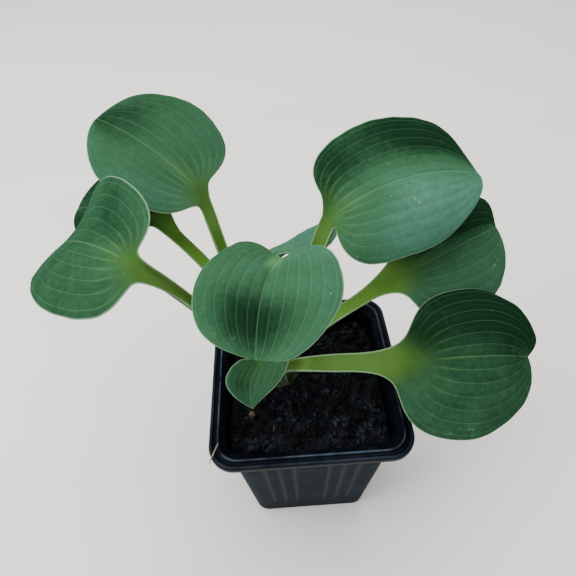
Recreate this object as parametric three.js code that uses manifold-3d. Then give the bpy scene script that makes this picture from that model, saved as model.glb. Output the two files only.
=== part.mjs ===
// A young blue-leaved hosta growing in a square nursery pot.
// Millimetres, +Z up. The origin is the centre of the pot's base, on the surface it stands on,
// and the pot's sides run along X and Y.
import * as THREE from 'three';
import { mergeVertices } from 'three/addons/utils/BufferGeometryUtils.js';
import Module from 'manifold-3d';

const wasm = await Module();
wasm.setup();

// Clearance left between pieces that touch on the real plant.
const GAP = 0.35;

// The pot: a thin moulded shell that tapers towards its base, with a rolled flange round the top.
const POT = {
  height: 100, rimHalf: 45, rimRadius: 11.5,
  wallTopHalf: 39, wallTopRadius: 9.5, baseHalf: 31.8, baseRadius: 7,
  wall: 1.0, floor: 1.6, flangeUnder: 98.3, lipBottom: 96.6, lipWidth: 1.1, chamfer: 1.5,
};
// Shallow upright flutes pressed into the outside of each wall, three on each side of a plain panel.
const FLUTE = { depth: 0.4, width: 1.5, first: 9, step: 7.5, perHalf: 3, low: 14, high: 88 };
const DRAIN = { radius: 3.4, corner: 21, side: 23, sides: 12 };

// The soil: crumbly peat that fills the pot to about 10 mm below the rim.
const SOIL = { level: 90, relief: 1.3, rings: 9 };

// The crown: the short rootstock that every petiole grows from, just above the soil.
const CROWN = { x: -13, y: 9.5, sides: 22,
  profile: [[0, 74], [7, 74.6], [11.5, 79], [12.4, 85.5], [12.1, 89], [11, 90.9], [5.5, 91.9], [0, 92.2]] };

// One slow-release fertiliser grain lying on the soil.
const GRAIN = { x: -26.5, y: -16.5, radius: 1.9 };

// What all leaves share: petiole section, blade thickness, vein relief.
const LEAF = {
  footBottom: 82, footTop: 92,
  footHalf: 2.0, footKeel: 2.6,
  channel: 0.9, stemBody: 2.0, blade: 0.8, keelEnd: 1.4,
  veinPairs: 4, veinRelief: 0.45, columns: 16,
  stemRows: 8, bladeRows: 12, lastRow: 0.996,
};

// Each leaf, by hand, with [left, right] pairs for its two halves as seen from the joint towards the tip.
// joint: where petiole and blade meet. tip: end of the midrib. roll: tilt of the blade about its midrib.
// stem: half width of the petiole. half: half widths of the blade. neck: softness of the run from petiole
// to margin. lobe: how far the base reaches back. shoulder: how far the end reaches forward. base, end:
// fullness exponents of the outline. point: how pointed the very tip is.
// arch: rise of the midrib over the line from joint to tip. sweep: its sideways bow. cup: angle at which
// a half leaves the midrib, curl: how far it then turns, both in degrees. wave: height, count and phase.
// foot: its place on the crown, as distance from the middle and angle. lift, via: how the petiole rises
// and where it then heads. ease: the length over which it comes into line with the midrib.
const LEAVES = {
  leaf_upper_left: {
    joint: [-47.2, 65, 166], tip: [-91.6, 91.6, 188.4], roll: -11.4, stem: 3.1, half: [28.7, 47.5],
    neck: [4.5, 1.8], lobe: [11.5, 11.2], shoulder: [-1.7, 6.9], base: [0.64, 0.62], end: [0.66, 0.49],
    point: [0.01, 0.24], arch: 4.2, sweep: 0.9, cup: [14.9, 0.5], curl: [-25.9, -34.2], wave: [0.5, 2, 0.1],
    foot: [8.2, 163], lift: 26, via: [-46.9, 63.2, 160.3], ease: 10,
  },
  leaf_left: {
    joint: [-62.2, -3.9, 185.2], tip: [-99.9, 29.1, 164.4], roll: -9.2, stem: 2.2, half: [27.7, 33],
    neck: [5.1, 2.3], lobe: [26.6, 10.7], shoulder: [10.2, 33.4], base: [0.74, 0.65], end: [0.88, 0.32],
    point: [0.11, 0.17], arch: 4.1, sweep: 0.3, cup: [2.9, 4.6], curl: [-26.7, 31], wave: [0.4, 2, 0.4],
    foot: [8.2, 216], lift: 20, via: [-49.8, -10.4, 182.8], ease: 15.6,
  },
  leaf_left_behind: {
    joint: [-73.6, 64.3, 150.2], tip: [-113.2, 80.1, 145.5], roll: -19, stem: 3.2, half: [18.1, 30.8],
    neck: [1.5, 3.4], lobe: [3, 5.7], shoulder: [-1.9, -0.3], base: [0.49, 0.41], end: [0.53, 0.44],
    point: [0.13, 0.09], arch: 6.4, sweep: -1.9, cup: [14.5, 16], curl: [-20.7, -34.3], wave: [0.5, 2, 0.7],
    foot: [8.2, 119], lift: 14, via: [-31.4, 43.6, 110.3], ease: 14.6,
  },
  leaf_centre: {
    joint: [-9.2, -1.9, 177], tip: [-17.7, -45.3, 180.3], roll: -6.4, stem: 1.9, half: [25.5, 23.8],
    neck: [1.3, 0.8], lobe: [0, 17.9], shoulder: [-4, 0.7], base: [0.41, 0.5], end: [0.35, 0.45],
    point: [0, 0.38], arch: 5.7, sweep: 2.1, cup: [39.7, 29.9], curl: [-26, -60.9], wave: [0.3, 2, 0.2],
    foot: [0, 0], lift: 22, via: [2.5, 15.4, 164.8], ease: 12,
  },
  leaf_small_front: {
    joint: [-21.4, -7.3, 118.6], tip: [-24.1, -25.5, 114.6], roll: 2, stem: 2, half: [14.6, 11],
    neck: [2.1, 1.6], lobe: [5.3, 4.3], shoulder: [-1.2, -0.8], base: [0.5, 0.58], end: [0.98, 0.75],
    point: [0.18, 0.17], arch: 0.8, sweep: 2.5, cup: [20.8, 19.4], curl: [-7.6, -14.4], wave: [0.3, 2, 0.5],
    foot: [8.2, 260], lift: 12, via: [-18.1, 2.9, 120], ease: 8,
  },
  leaf_upper_right: {
    joint: [14.8, 24.2, 175.8], tip: [75.7, 38.6, 180.5], roll: 7.5, stem: 4.8, half: [34.3, 32.1],
    neck: [0.8, 1], lobe: [7.3, 12.3], shoulder: [5.8, -4], base: [0.4, 0.55], end: [0.36, 0.58],
    point: [0.1, 0], arch: 6.6, sweep: -2.2, cup: [5.7, 16.6], curl: [8.3, -81.2], wave: [0.4, 2, 0.3],
    foot: [8.2, 34], lift: 24, via: [-3.8, -0.1, 122.5], ease: 9.5,
  },
  leaf_right_behind: {
    joint: [49.4, 15.3, 151], tip: [93.1, 40.2, 149.5], roll: 36.4, stem: 2.8, half: [20.5, 28.6],
    neck: [6, 4.5], lobe: [6.1, 16.1], shoulder: [12.5, -0.7], base: [0.45, 0.56], end: [0.53, 0.44],
    point: [0.11, 0.17], arch: 4.6, sweep: -0.8, cup: [17.6, 14.3], curl: [-21, -36.5], wave: [0.5, 2, 0.9],
    foot: [8.2, -10], lift: 18, via: [-4.3, -5.4, 138.6], ease: 17,
  },
  leaf_right: {
    joint: [51.1, -19.5, 134], tip: [90.8, -18.3, 129.1], roll: 28.5, stem: 3.9, half: [30.6, 34],
    neck: [5.4, 5.9], lobe: [11.3, 22], shoulder: [27.3, 6.7], base: [0.75, 0.8], end: [0.86, 1.11],
    point: [0, 0.14], arch: 6.5, sweep: -0.2, cup: [16, 7.4], curl: [-46.8, -44.7], wave: [0.4, 2, 0.6],
    foot: [8.2, -55], lift: 14, via: [-19.4, -17, 133.9], ease: 21.2,
  },
  leaf_centre_behind: {
    joint: [-8.9, 37.6, 144.3], tip: [17.6, 62.3, 140.6], roll: -14.3, stem: 1.8, half: [6, 13.9],
    neck: [0.6, 0.6], lobe: [8.7, 0], shoulder: [4.5, 3.6], base: [0.48, 0.48], end: [0.64, 0.69],
    point: [0.12, 0.12], arch: 0.5, sweep: 1, cup: [11.7, 13.1], curl: [-25.5, -31.8], wave: [0.3, 2, 0.8],
    foot: [8.2, 77], lift: 18, via: [-23, 30.3, 142.5], ease: 9.2,
  },
};

const vec = (p) => new THREE.Vector3(...p);
const rad = THREE.MathUtils.degToRad;
const mix = THREE.MathUtils.lerp;
const clamp = THREE.MathUtils.clamp;

function geometryFrom(points, triangles) {
  const geometry = new THREE.BufferGeometry();
  geometry.setAttribute('position', new THREE.Float32BufferAttribute(points.flatMap((p) => p.toArray()), 3));
  geometry.setIndex(triangles);
  return geometry;
}

// three.js geometry to a closed solid and back, for the cuts.
function toSolid(geometry) {
  const bare = geometry.clone();
  bare.deleteAttribute('normal');
  bare.deleteAttribute('uv');
  const merged = mergeVertices(bare, 1e-4);
  return new wasm.Manifold(new wasm.Mesh({
    numProp: 3,
    vertProperties: new Float32Array(merged.attributes.position.array),
    triVerts: new Uint32Array(merged.index.array),
  }));
}

function toGeometry(solid) {
  const mesh = solid.getMesh();
  const geometry = new THREE.BufferGeometry();
  geometry.setAttribute('position', new THREE.BufferAttribute(new Float32Array(mesh.vertProperties), 3));
  geometry.setIndex([...mesh.triVerts]);
  return geometry;
}

// A level loop round a square with rounded corners, anticlockwise seen from above.
function squareLoop(half, radius, z, perCorner = 5) {
  const points = [];
  const centre = half - radius;
  for (let corner = 0; corner < 4; corner += 1) {
    const start = corner * 90;
    const cx = centre * Math.sign(Math.cos(rad(start + 45)));
    const cy = centre * Math.sign(Math.sin(rad(start + 45)));
    for (let k = 0; k < perCorner; k += 1) {
      const angle = rad(start + (90 * k) / (perCorner - 1));
      points.push(new THREE.Vector3(cx + radius * Math.cos(angle), cy + radius * Math.sin(angle), z));
    }
  }
  return points;
}

// Skins a stack of loops of equal length and closes both ends with a fan round a middle point.
function skin(loops, firstCentre, lastCentre) {
  const n = loops[0].length;
  const points = loops.flat();
  const first = points.push(firstCentre) - 1;
  const last = points.push(lastCentre) - 1;
  const triangles = [];
  for (let k = 0; k < n; k += 1) {
    const next = (k + 1) % n;
    triangles.push(first, next, k);
    for (let level = 0; level + 1 < loops.length; level += 1) {
      const a = level * n;
      const b = a + n;
      triangles.push(a + k, a + next, b + next, a + k, b + next, b + k);
    }
    const top = (loops.length - 1) * n;
    triangles.push(last, top + k, top + next);
  }
  return geometryFrom(points, triangles);
}

// Half width and corner radius of the pot's outer wall at a height.
function wallAt(z) {
  const s = z / POT.flangeUnder;
  return [mix(POT.baseHalf, POT.wallTopHalf, s), mix(POT.baseRadius, POT.wallTopRadius, s)];
}

function potGeometry() {
  const h = POT.height;
  const [topHalf, topRadius] = wallAt(POT.flangeUnder);
  const [lowHalf, lowRadius] = wallAt(POT.chamfer);
  const rim = (inset, z) => squareLoop(POT.rimHalf - inset, POT.rimRadius - inset * 0.6, z);
  const loops = [
    squareLoop(POT.baseHalf - 1, POT.baseRadius, 0),
    squareLoop(lowHalf, lowRadius, POT.chamfer),
    squareLoop(topHalf, topRadius, POT.flangeUnder),
    rim(POT.lipWidth, POT.flangeUnder),
    rim(POT.lipWidth, POT.lipBottom),
    rim(0, POT.lipBottom),
    rim(0, h - 0.6),
    rim(0.5, h),
    rim(1.4, h),
    rim(2.1, h - 0.9),
    rim(2.9, h - 0.9),
    rim(3.4, h),
    rim(4.2, h),
    rim(4.9, h - 0.8),
    squareLoop(topHalf - POT.wall, topRadius - POT.wall, h - 1.6),
    squareLoop(wallAt(POT.floor)[0] - POT.wall, wallAt(POT.floor)[1] - POT.wall, POT.floor),
  ];
  return skin(loops, new THREE.Vector3(0, 0, 0), new THREE.Vector3(0, 0, POT.floor));
}

// A slim three-sided bar that leans with the wall of the +X side; its edge cuts the flute.
function fluteBar(offset) {
  const outline = new THREE.Shape();
  outline.moveTo(-FLUTE.depth, 0);
  outline.lineTo(2, -FLUTE.width * 2);
  outline.lineTo(2, FLUTE.width * 2);
  outline.closePath();
  const bar = new THREE.ExtrudeGeometry(outline, { depth: FLUTE.high - FLUTE.low, bevelEnabled: false });
  const lean = (wallAt(FLUTE.high)[0] - wallAt(FLUTE.low)[0]) / (FLUTE.high - FLUTE.low);
  const shear = new THREE.Matrix4().makeShear(0, 0, 0, 0, lean, (lean * offset) / POT.wallTopHalf);
  bar.applyMatrix4(shear);
  return bar.translate(wallAt(FLUTE.low)[0], offset * (wallAt(FLUTE.low)[0] / POT.wallTopHalf), FLUTE.low);
}

function buildPot() {
  let pot = toSolid(potGeometry());
  for (let side = 0; side < 4; side += 1) {
    for (let k = 0; k < FLUTE.perHalf; k += 1) {
      for (const sign of [-1, 1]) {
        const bar = fluteBar(sign * (FLUTE.first + k * FLUTE.step)).rotateZ(rad(90 * side));
        pot = pot.subtract(toSolid(bar));
      }
    }
  }
  for (let k = 0; k < 8; k += 1) {
    const reach = k % 2 ? DRAIN.corner * Math.SQRT2 : DRAIN.side;
    const hole = new THREE.CylinderGeometry(DRAIN.radius, DRAIN.radius, 8, DRAIN.sides);
    hole.rotateX(Math.PI / 2);
    hole.translate(reach * Math.cos(rad(45 * k)), reach * Math.sin(rad(45 * k)), 0);
    pot = pot.subtract(toSolid(hole));
  }
  return toGeometry(pot);
}

// Gentle unevenness of the soil: a few waves that do not repeat inside the pot.
function soilHeight(x, y) {
  const waves = Math.sin(x * 0.31 + 1.3) * Math.cos(y * 0.27 - 0.4)
    + 0.6 * Math.sin(x * 0.83 - y * 0.61 + 2.1)
    + 0.5 * Math.cos(x * 0.52 + y * 0.97 + 0.7);
  return SOIL.level + SOIL.relief * 0.5 * waves;
}

// The turned body of the crown, or the plain hole it sits in when grown by the clearance.
function crownGeometry(grow) {
  const widest = 84;
  const outline = CROWN.profile.map(([r, z]) => (
    new THREE.Vector2(r === 0 ? 0 : r + grow, z + Math.sign(z - widest) * grow)));
  const geometry = new THREE.LatheGeometry(outline, CROWN.sides);
  return geometry.rotateX(Math.PI / 2).scale(1, -1, 1).translate(CROWN.x, CROWN.y, 0);
}

// Turns a closed geometry the right way round if its faces point inwards.
function facingOut(geometry) {
  const position = geometry.attributes.position;
  const index = geometry.index.array;
  let volume = 0;
  const [a, b, c] = [new THREE.Vector3(), new THREE.Vector3(), new THREE.Vector3()];
  for (let k = 0; k < index.length; k += 3) {
    a.fromBufferAttribute(position, index[k]);
    b.fromBufferAttribute(position, index[k + 1]);
    c.fromBufferAttribute(position, index[k + 2]);
    volume += a.dot(b.cross(c));
  }
  if (volume < 0) {
    for (let k = 0; k < index.length; k += 3) [index[k], index[k + 1]] = [index[k + 1], index[k]];
  }
  return geometry;
}

function buildSoil() {
  const inner = (z) => wallAt(z).map((size) => size - POT.wall - GAP);
  const low = POT.floor + GAP;
  const loops = [squareLoop(...inner(low), low)];
  for (let ring = 0; ring < SOIL.rings; ring += 1) {
    const share = 1 - ring / SOIL.rings;
    const [half, radius] = inner(SOIL.level);
    const loop = squareLoop(half * share, Math.max(radius * share, 0.5), 0);
    loop.forEach((p) => { p.z = soilHeight(p.x, p.y) - (ring === 0 ? 1.2 : 0); });
    loops.push(loop);
  }
  const body = skin(loops, new THREE.Vector3(0, 0, low), new THREE.Vector3(0, 0, soilHeight(0, 0)));
  return toGeometry(toSolid(body).subtract(toSolid(facingOut(crownGeometry(GAP)))));
}

// Frame of a blade: where it starts and ends, and its along, side and up directions.
function bladeFrame(leaf) {
  const joint = vec(leaf.joint);
  const along = vec(leaf.tip).sub(joint);
  const length = along.length();
  along.normalize();
  const side = new THREE.Vector3().crossVectors(along, new THREE.Vector3(0, 0, 1)).normalize();
  side.applyAxisAngle(along, rad(leaf.roll));
  const up = new THREE.Vector3().crossVectors(side, along);
  const start = along.clone().addScaledVector(up, (4 * leaf.arch) / length).normalize();
  return { joint, along, side, up, start, length };
}

// Width and backward reach of the sheet on the side that t lies on, at a distance y along the midrib
// from the joint, negative in the petiole. The blade begins softly, so its margins run back along the
// petiole in a hollow curve.
function spread(leaf, t, y, length) {
  const k = t < 0 ? 0 : 1;
  const soften = (d) => d + Math.hypot(d, leaf.neck[k]);
  const u = soften(y) / soften(length);
  const [a, b] = [leaf.base[k], leaf.end[k]];
  const peak = (a / (a + b)) ** a * (b / (a + b)) ** b;
  const fade = THREE.MathUtils.smoothstep(y, -5 * leaf.neck[k], 0);
  const blunt = (1 - clamp(u, 0, 1) ** 40) ** leaf.point[k];
  const half = fade * leaf.half[k] * ((u ** a * (1 - u) ** b) / peak) * blunt;
  const back = fade * leaf.lobe[k] * 2.6 * Math.sqrt(u) * (1 - u) ** 2.5;
  return { half, back, fade };
}

// Cross-section of a blade: how far out and up a point lies that is so far across the sheet.
function section(leaf, t, across, eta) {
  const k = t < 0 ? 0 : 1;
  const cup = rad(leaf.cup[k]) * (1 - 0.6 * eta);
  const turn = rad(leaf.curl[k]) / leaf.half[k];
  const out = (Math.sin(cup + turn * across) - Math.sin(cup)) / turn;
  const lift = (Math.cos(cup) - Math.cos(cup + turn * across)) / turn;
  return { out, lift };
}

// Raised ribs between the sunken veins, and the long waves of the margin.
function relief(leaf, t, u) {
  const fade = THREE.MathUtils.smoothstep(u, 0, 0.2) * Math.min(1, (1 - u) / 0.25);
  const ribs = LEAF.veinRelief * Math.sin(Math.PI * LEAF.veinPairs * t) ** 2;
  const [height, count, phase] = leaf.wave;
  const wave = height * Math.abs(t) ** 3 * Math.sin(2 * Math.PI * (count * u + phase) + (t < 0 ? 1.7 : 0));
  return fade * (ribs + wave);
}

// A point of the blade's middle sheet. t: -1 to 1 from margin to margin. u: 0 to 1 from joint to tip.
function bladePoint(leaf, frame, t, u) {
  const { length } = frame;
  const { half, back } = spread(leaf, t, u * length, length);
  const shoulder = leaf.shoulder[t < 0 ? 0 : 1] * 12.2 * u ** 4 * (1 - u);
  const forward = length * u + (shoulder - back) * Math.abs(t) ** 1.5;
  const eta = forward / length;
  const inside = clamp(eta, 0, 1);
  const rise = 4 * leaf.arch * (eta > 0 ? eta * (1 - eta) : eta);
  const slope = (4 * leaf.arch * (1 - 2 * inside)) / length;
  const narrow = 1 - THREE.MathUtils.smoothstep(u, 0, 0.4);
  const { out, lift } = section(leaf, t, Math.abs(t) * (half + leaf.stem * narrow), inside);
  const high = lift + relief(leaf, t, u) + LEAF.channel * t * t * narrow;
  const norm = Math.hypot(1, slope);
  return frame.joint.clone()
    .addScaledVector(frame.along, forward - (high * slope) / norm)
    .addScaledVector(frame.up, rise + high / norm)
    .addScaledVector(frame.side, out * Math.sign(t) + leaf.sweep * 4 * inside * (1 - inside));
}

// Centre line of the petiole: straight up out of the crown, then one smooth curve into the blade.
function stemStations(leaf, frame) {
  const [reach, angle] = leaf.foot;
  const foot = new THREE.Vector3(reach * Math.cos(rad(angle)), reach * Math.sin(rad(angle)), LEAF.footTop);
  foot.add(new THREE.Vector3(CROWN.x, CROWN.y, 0));
  const control = [foot, foot.clone().setZ(LEAF.footTop + leaf.lift), vec(leaf.via),
    frame.joint.clone().addScaledVector(frame.start, -leaf.ease), frame.joint];
  const heading = frame.joint.clone().sub(foot).setZ(0).normalize();
  const footSide = new THREE.Vector3().crossVectors(heading, new THREE.Vector3(0, 0, 1));
  const binomial = [1, 4, 6, 4, 1];
  const at = (s) => control.reduce((sum, p, k) => (
    sum.addScaledVector(p, binomial[k] * s ** k * (1 - s) ** (4 - k))), new THREE.Vector3());
  const stations = [{ centre: foot.clone().setZ(LEAF.footBottom), s: 0 }];
  for (let k = 0; k < LEAF.stemRows; k += 1) {
    const s = 1 - (1 - k / LEAF.stemRows) ** 1.4;
    stations.push({ centre: at(s), s });
  }
  return stations.map(({ centre, s }) => {
    const tangent = s === 0 ? new THREE.Vector3(0, 0, 1) : at(s + 0.01).sub(at(s - 0.01)).normalize();
    const side = footSide.clone().lerp(frame.side, s * s * (3 - 2 * s));
    side.addScaledVector(tangent, -side.dot(tangent)).normalize();
    const up = new THREE.Vector3().crossVectors(side, tangent);
    const grown = Math.min(1, 1.6 * s) ** 1.5;
    const half = mix(LEAF.footHalf, leaf.stem, grown);
    const reach = mix(LEAF.footKeel, leaf.stem, grown);
    return { centre, tangent, side, up, half, reach };
  });
}

// A point of the petiole's sheet at one of its stations, with the wings that run down from the blade.
function stemPoint(leaf, frame, station, t) {
  const stretch = Math.hypot(1, (4 * leaf.arch) / frame.length);
  const y = -station.centre.distanceTo(frame.joint) / stretch;
  const wing = spread(leaf, t, y, frame.length);
  const across = Math.abs(t) * (station.half + wing.half);
  const { out, lift } = section(leaf, t, across, 0);
  const side = station.side.clone().lerp(frame.side, wing.fade);
  const up = station.up.clone().lerp(frame.side.clone().cross(frame.start), wing.fade);
  return station.centre.clone()
    .addScaledVector(side, Math.sign(t) * mix(across, out, wing.fade))
    .addScaledVector(up, LEAF.channel * t * t + lift * wing.fade)
    .addScaledVector(frame.start, -stretch * wing.back * Math.abs(t) ** 1.5);
}

// Thickness of the fleshy keel under the sheet, so far across from the midrib. u: 0 in the petiole.
function keel(across, reach, u) {
  return LEAF.stemBody * (1 - u) ** LEAF.keelEnd * Math.max(0, 1 - (across / reach) ** 2) ** 0.75;
}

// The whole leaf as rows of points from the foot of the petiole to the tip of the blade, with the
// thickness to add above and below the sheet at each point.
function leafRows(leaf) {
  const frame = bladeFrame(leaf);
  const half = LEAF.blade / 2;
  const ts = Array.from({ length: LEAF.columns + 1 }, (_, k) => -1 + (2 * k) / LEAF.columns);
  const row = (pointAt, reach, u) => {
    const points = ts.map(pointAt);
    const middle = points[LEAF.columns / 2];
    const below = (point) => half + keel(point.distanceTo(middle), reach, u);
    return points.map((point) => ({ point, above: half, below: below(point) }));
  };
  const rows = stemStations(leaf, frame).map((station) => (
    row((t) => stemPoint(leaf, frame, station, t), station.reach, 0)));
  for (let k = 0; k <= LEAF.bladeRows; k += 1) {
    const u = LEAF.lastRow * (0.5 - 0.5 * Math.cos((Math.PI * k) / LEAF.bladeRows));
    rows.push(row((t) => bladePoint(leaf, frame, t, u), leaf.stem * (1 - 0.6 * u), u));
  }
  return rows;
}

// Thickens the rows into one closed solid whose upper and lower faces share their triangle pattern.
function sheetSolid(rows) {
  const [last, right] = [rows.length - 1, rows[0].length - 1];
  const at = (i, j) => rows[clamp(i, 0, last)][clamp(j, 0, right)].point;
  const upper = [];
  const lower = [];
  rows.forEach((row, i) => row.forEach(({ point, above, below }, j) => {
    const across = at(i, j + 1).clone().sub(at(i, j - 1));
    const along = at(i + 1, j).clone().sub(at(i - 1, j));
    const normal = across.cross(along).normalize();
    upper.push(point.clone().addScaledVector(normal, above));
    lower.push(point.clone().addScaledVector(normal, -below));
  }));
  const width = right + 1;
  const under = upper.length;
  const triangles = [];
  const quad = (a, b, c, d) => triangles.push(a, b, c, a, c, d);
  for (let i = 0; i < last; i += 1) {
    for (let j = 0; j < right; j += 1) {
      const [a, b, c, d] = [i * width + j, i * width + j + 1, (i + 1) * width + j + 1, (i + 1) * width + j];
      const turned = at(i, j + 1).distanceTo(at(i + 1, j)) < at(i, j).distanceTo(at(i + 1, j + 1));
      const faces = turned ? [[a, b, d], [b, c, d]] : [[a, b, c], [a, c, d]];
      for (const [p, q, r] of faces) triangles.push(p, q, r, under + r, under + q, under + p);
    }
    const [l, m] = [i * width, (i + 1) * width];
    quad(l + right, under + l + right, under + m + right, m + right);
    quad(m, under + m, under + l, l);
  }
  const end = last * width;
  for (let j = 0; j < right; j += 1) {
    quad(end + j, end + j + 1, under + end + j + 1, under + end + j);
    quad(under + j, under + j + 1, j + 1, j);
  }
  return geometryFrom([...upper, ...lower], triangles);
}

// The plain hole that a petiole stands in: its own section, grown by the clearance.
function socketGeometry(leaf) {
  const grown = leafRows(leaf)[0].map(({ point, above, below }, k, row) => {
    const middle = LEAF.columns / 2;
    const outwards = point.clone().sub(row[middle].point).setLength(k === middle ? 0 : GAP);
    return { point: point.clone().add(outwards), above: above + GAP, below: below + GAP };
  });
  const ends = [LEAF.footBottom - GAP, LEAF.footTop + 6];
  return sheetSolid(ends.map((z) => grown.map((station) => (
    { ...station, point: station.point.clone().setZ(z) }))));
}

function buildCrown() {
  let crown = toSolid(facingOut(crownGeometry(0)));
  for (const leaf of Object.values(LEAVES)) crown = crown.subtract(toSolid(socketGeometry(leaf)));
  return toGeometry(crown);
}

function buildGrain() {
  const grain = new THREE.IcosahedronGeometry(GRAIN.radius, 2);
  grain.deleteAttribute('normal');
  grain.deleteAttribute('uv');
  const z = soilHeight(GRAIN.x, GRAIN.y) + GRAIN.radius + GAP;
  return mergeVertices(grain, 1e-4).translate(GRAIN.x, GRAIN.y, z);
}

const finish = {
  pot: new THREE.MeshStandardMaterial({ color: 0x15191c, roughness: 0.45, metalness: 0 }),
  soil: new THREE.MeshStandardMaterial({ color: 0x17120e, roughness: 1, metalness: 0 }),
  crown: new THREE.MeshStandardMaterial({ color: 0x6f8f3a, roughness: 0.6, metalness: 0 }),
  leaf: new THREE.MeshStandardMaterial({ color: 0x3f6f55, roughness: 0.55, metalness: 0 }),
  grain: new THREE.MeshStandardMaterial({ color: 0x8a5a2b, roughness: 0.5, metalness: 0 }),
};

const plant = new THREE.Group();
function add(name, geometry, material) {
  const mesh = new THREE.Mesh(geometry, material.clone());
  mesh.name = name;
  plant.add(mesh);
}

add('pot', buildPot(), finish.pot);
add('soil', buildSoil(), finish.soil);
add('crown', buildCrown(), finish.crown);
add('fertiliser_grain', buildGrain(), finish.grain);
for (const [name, leaf] of Object.entries(LEAVES)) add(name, sheetSolid(leafRows(leaf)), finish.leaf);

export default plant;
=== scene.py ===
# %% [markdown]
# # A young blue-leaved hosta in a square nursery pot
# The CAD model already holds every piece at its real size: the pot, the soil, the crown, one grain
# of fertiliser and nine leaves. This lesson dresses that model. Each leaf is woven again as a much
# finer sheet from the same formula, and every surface gets a finish that shows what it is made of.

# %% Load the frame
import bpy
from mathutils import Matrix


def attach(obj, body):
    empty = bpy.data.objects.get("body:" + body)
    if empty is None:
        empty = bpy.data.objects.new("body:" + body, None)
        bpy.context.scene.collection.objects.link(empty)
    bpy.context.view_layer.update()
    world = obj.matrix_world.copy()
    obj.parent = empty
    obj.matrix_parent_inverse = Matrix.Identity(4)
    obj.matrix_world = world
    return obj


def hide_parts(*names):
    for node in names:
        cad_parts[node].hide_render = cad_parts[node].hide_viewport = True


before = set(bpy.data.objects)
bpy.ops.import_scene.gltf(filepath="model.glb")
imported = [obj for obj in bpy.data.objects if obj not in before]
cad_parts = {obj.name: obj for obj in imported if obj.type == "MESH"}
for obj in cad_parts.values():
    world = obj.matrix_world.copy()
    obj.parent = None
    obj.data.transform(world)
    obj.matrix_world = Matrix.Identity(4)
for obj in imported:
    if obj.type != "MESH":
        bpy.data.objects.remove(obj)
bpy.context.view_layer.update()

import math
import bpy
import bmesh
import numpy as np
from mathutils import Matrix, Vector
from mathutils.geometry import delaunay_2d_cdt

MM = 0.001
print("pieces in the frame:", ", ".join(sorted(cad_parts)))

# %% [markdown]
# ## The camera
# The photograph was taken by hand from above the front of the pot. Its place was worked out from the
# pot's square rim: four straight sides and four round corners of known size say where the lens was,
# how far it looked down and how much it was tilted. A camera could also be aimed at a target with a
# constraint, but three axis vectors written out keep every angle visible.

# %% Place the camera
LENS = 28.0
SENSOR = 36.0
LENS_AT = Vector((-9.0, -117.0, 288.0)) * MM
LOOK_DOWN, LOOK_RIGHT, LEAN = (math.radians(a) for a in (47.4, 1.3, -2.8))

ahead = Vector((
    math.sin(LOOK_RIGHT) * math.cos(LOOK_DOWN),
    math.cos(LOOK_RIGHT) * math.cos(LOOK_DOWN),
    -math.sin(LOOK_DOWN),
))
level_right = Vector((math.cos(LOOK_RIGHT), -math.sin(LOOK_RIGHT), 0.0))
level_up = level_right.cross(ahead)
right = level_right * math.cos(LEAN) + level_up * math.sin(LEAN)
up = level_up * math.cos(LEAN) - level_right * math.sin(LEAN)

lens = bpy.data.cameras.new("hand_camera")
lens.lens = LENS
lens.sensor_width = SENSOR
lens.dof.use_dof = False
camera = bpy.data.objects.new("hand_camera", lens)
camera.matrix_world = Matrix.Translation(LENS_AT) @ Matrix((right, up, -ahead)).transposed().to_4x4()
bpy.context.collection.objects.link(camera)
bpy.context.scene.camera = camera
print("camera height above the table: %.0f mm" % (LENS_AT.z / MM))

# %% [markdown]
# ## Building finishes from nodes
# Every finish below is a small tree of shader nodes. Helpers keep those trees short: one adds a node
# and wires its inputs, one starts a finish and hands back its main shader, and the others say what a
# group of nodes does. Placing the nodes by hand in the editor would give the same result, but a
# script can be read and repeated.

# %% Helpers that add nodes
def plug(tree, socket, value):
    """Feeds a socket with a number, a colour, or another node's output."""
    if isinstance(value, bpy.types.NodeSocket):
        tree.links.new(value, socket)
    else:
        socket.default_value = value


def add_node(tree, kind, settings=None, **inputs):
    """Adds one node. Inputs go by name, or by number as _0, _1 and so on."""
    node = tree.nodes.new("ShaderNode" + kind)
    for name, value in (settings or {}).items():
        setattr(node, name, value)
    for name, value in inputs.items():
        numbered = name[1:].isdigit()
        plug(tree, node.inputs[int(name[1:]) if numbered else name.replace("_", " ")], value)
    return node


def new_finish(name, roughness, **shader_values):
    """A material with a principled shader, whose plain values are set straight on its sockets."""
    finish = bpy.data.materials.new(name)
    finish.use_nodes = True
    tree = finish.node_tree
    shader = tree.nodes["Principled BSDF"]
    shader.inputs["Roughness"].default_value = roughness
    for key, value in shader_values.items():
        shader.inputs[key.replace("_", " ")].default_value = value
    return finish, tree, shader


def math_node(tree, operation, a, b=0.0, c=0.0):
    return add_node(tree, "Math", {"operation": operation}, _0=a, _1=b, _2=c).outputs[0]


print("helpers ready: plug, add_node, new_finish and math_node")

# %% Helpers for numbers in a finish
def from_mesh(tree, name):
    """The number that the mesh keeps under a name for each of its points."""
    return add_node(tree, "Attribute", {"attribute_name": name}).outputs["Fac"]


def grain_noise(tree, scale, detail=4.0, rough=0.6, stretch=(1, 1, 1)):
    """Noise laid out over the piece itself, so it stays put when the piece is seen from elsewhere."""
    place = add_node(tree, "TexCoord").outputs["Object"]
    if stretch != (1, 1, 1):
        place = add_node(tree, "Mapping", Vector=place, Scale=stretch).outputs[0]
    node = add_node(tree, "TexNoise", Vector=place, Scale=scale, Detail=detail, Roughness=rough)
    return node.outputs["Fac"]


def times(tree, *values):
    """The product of two or more numbers or sockets."""
    product = values[0]
    for value in values[1:]:
        product = math_node(tree, "MULTIPLY", product, value)
    return product


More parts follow.
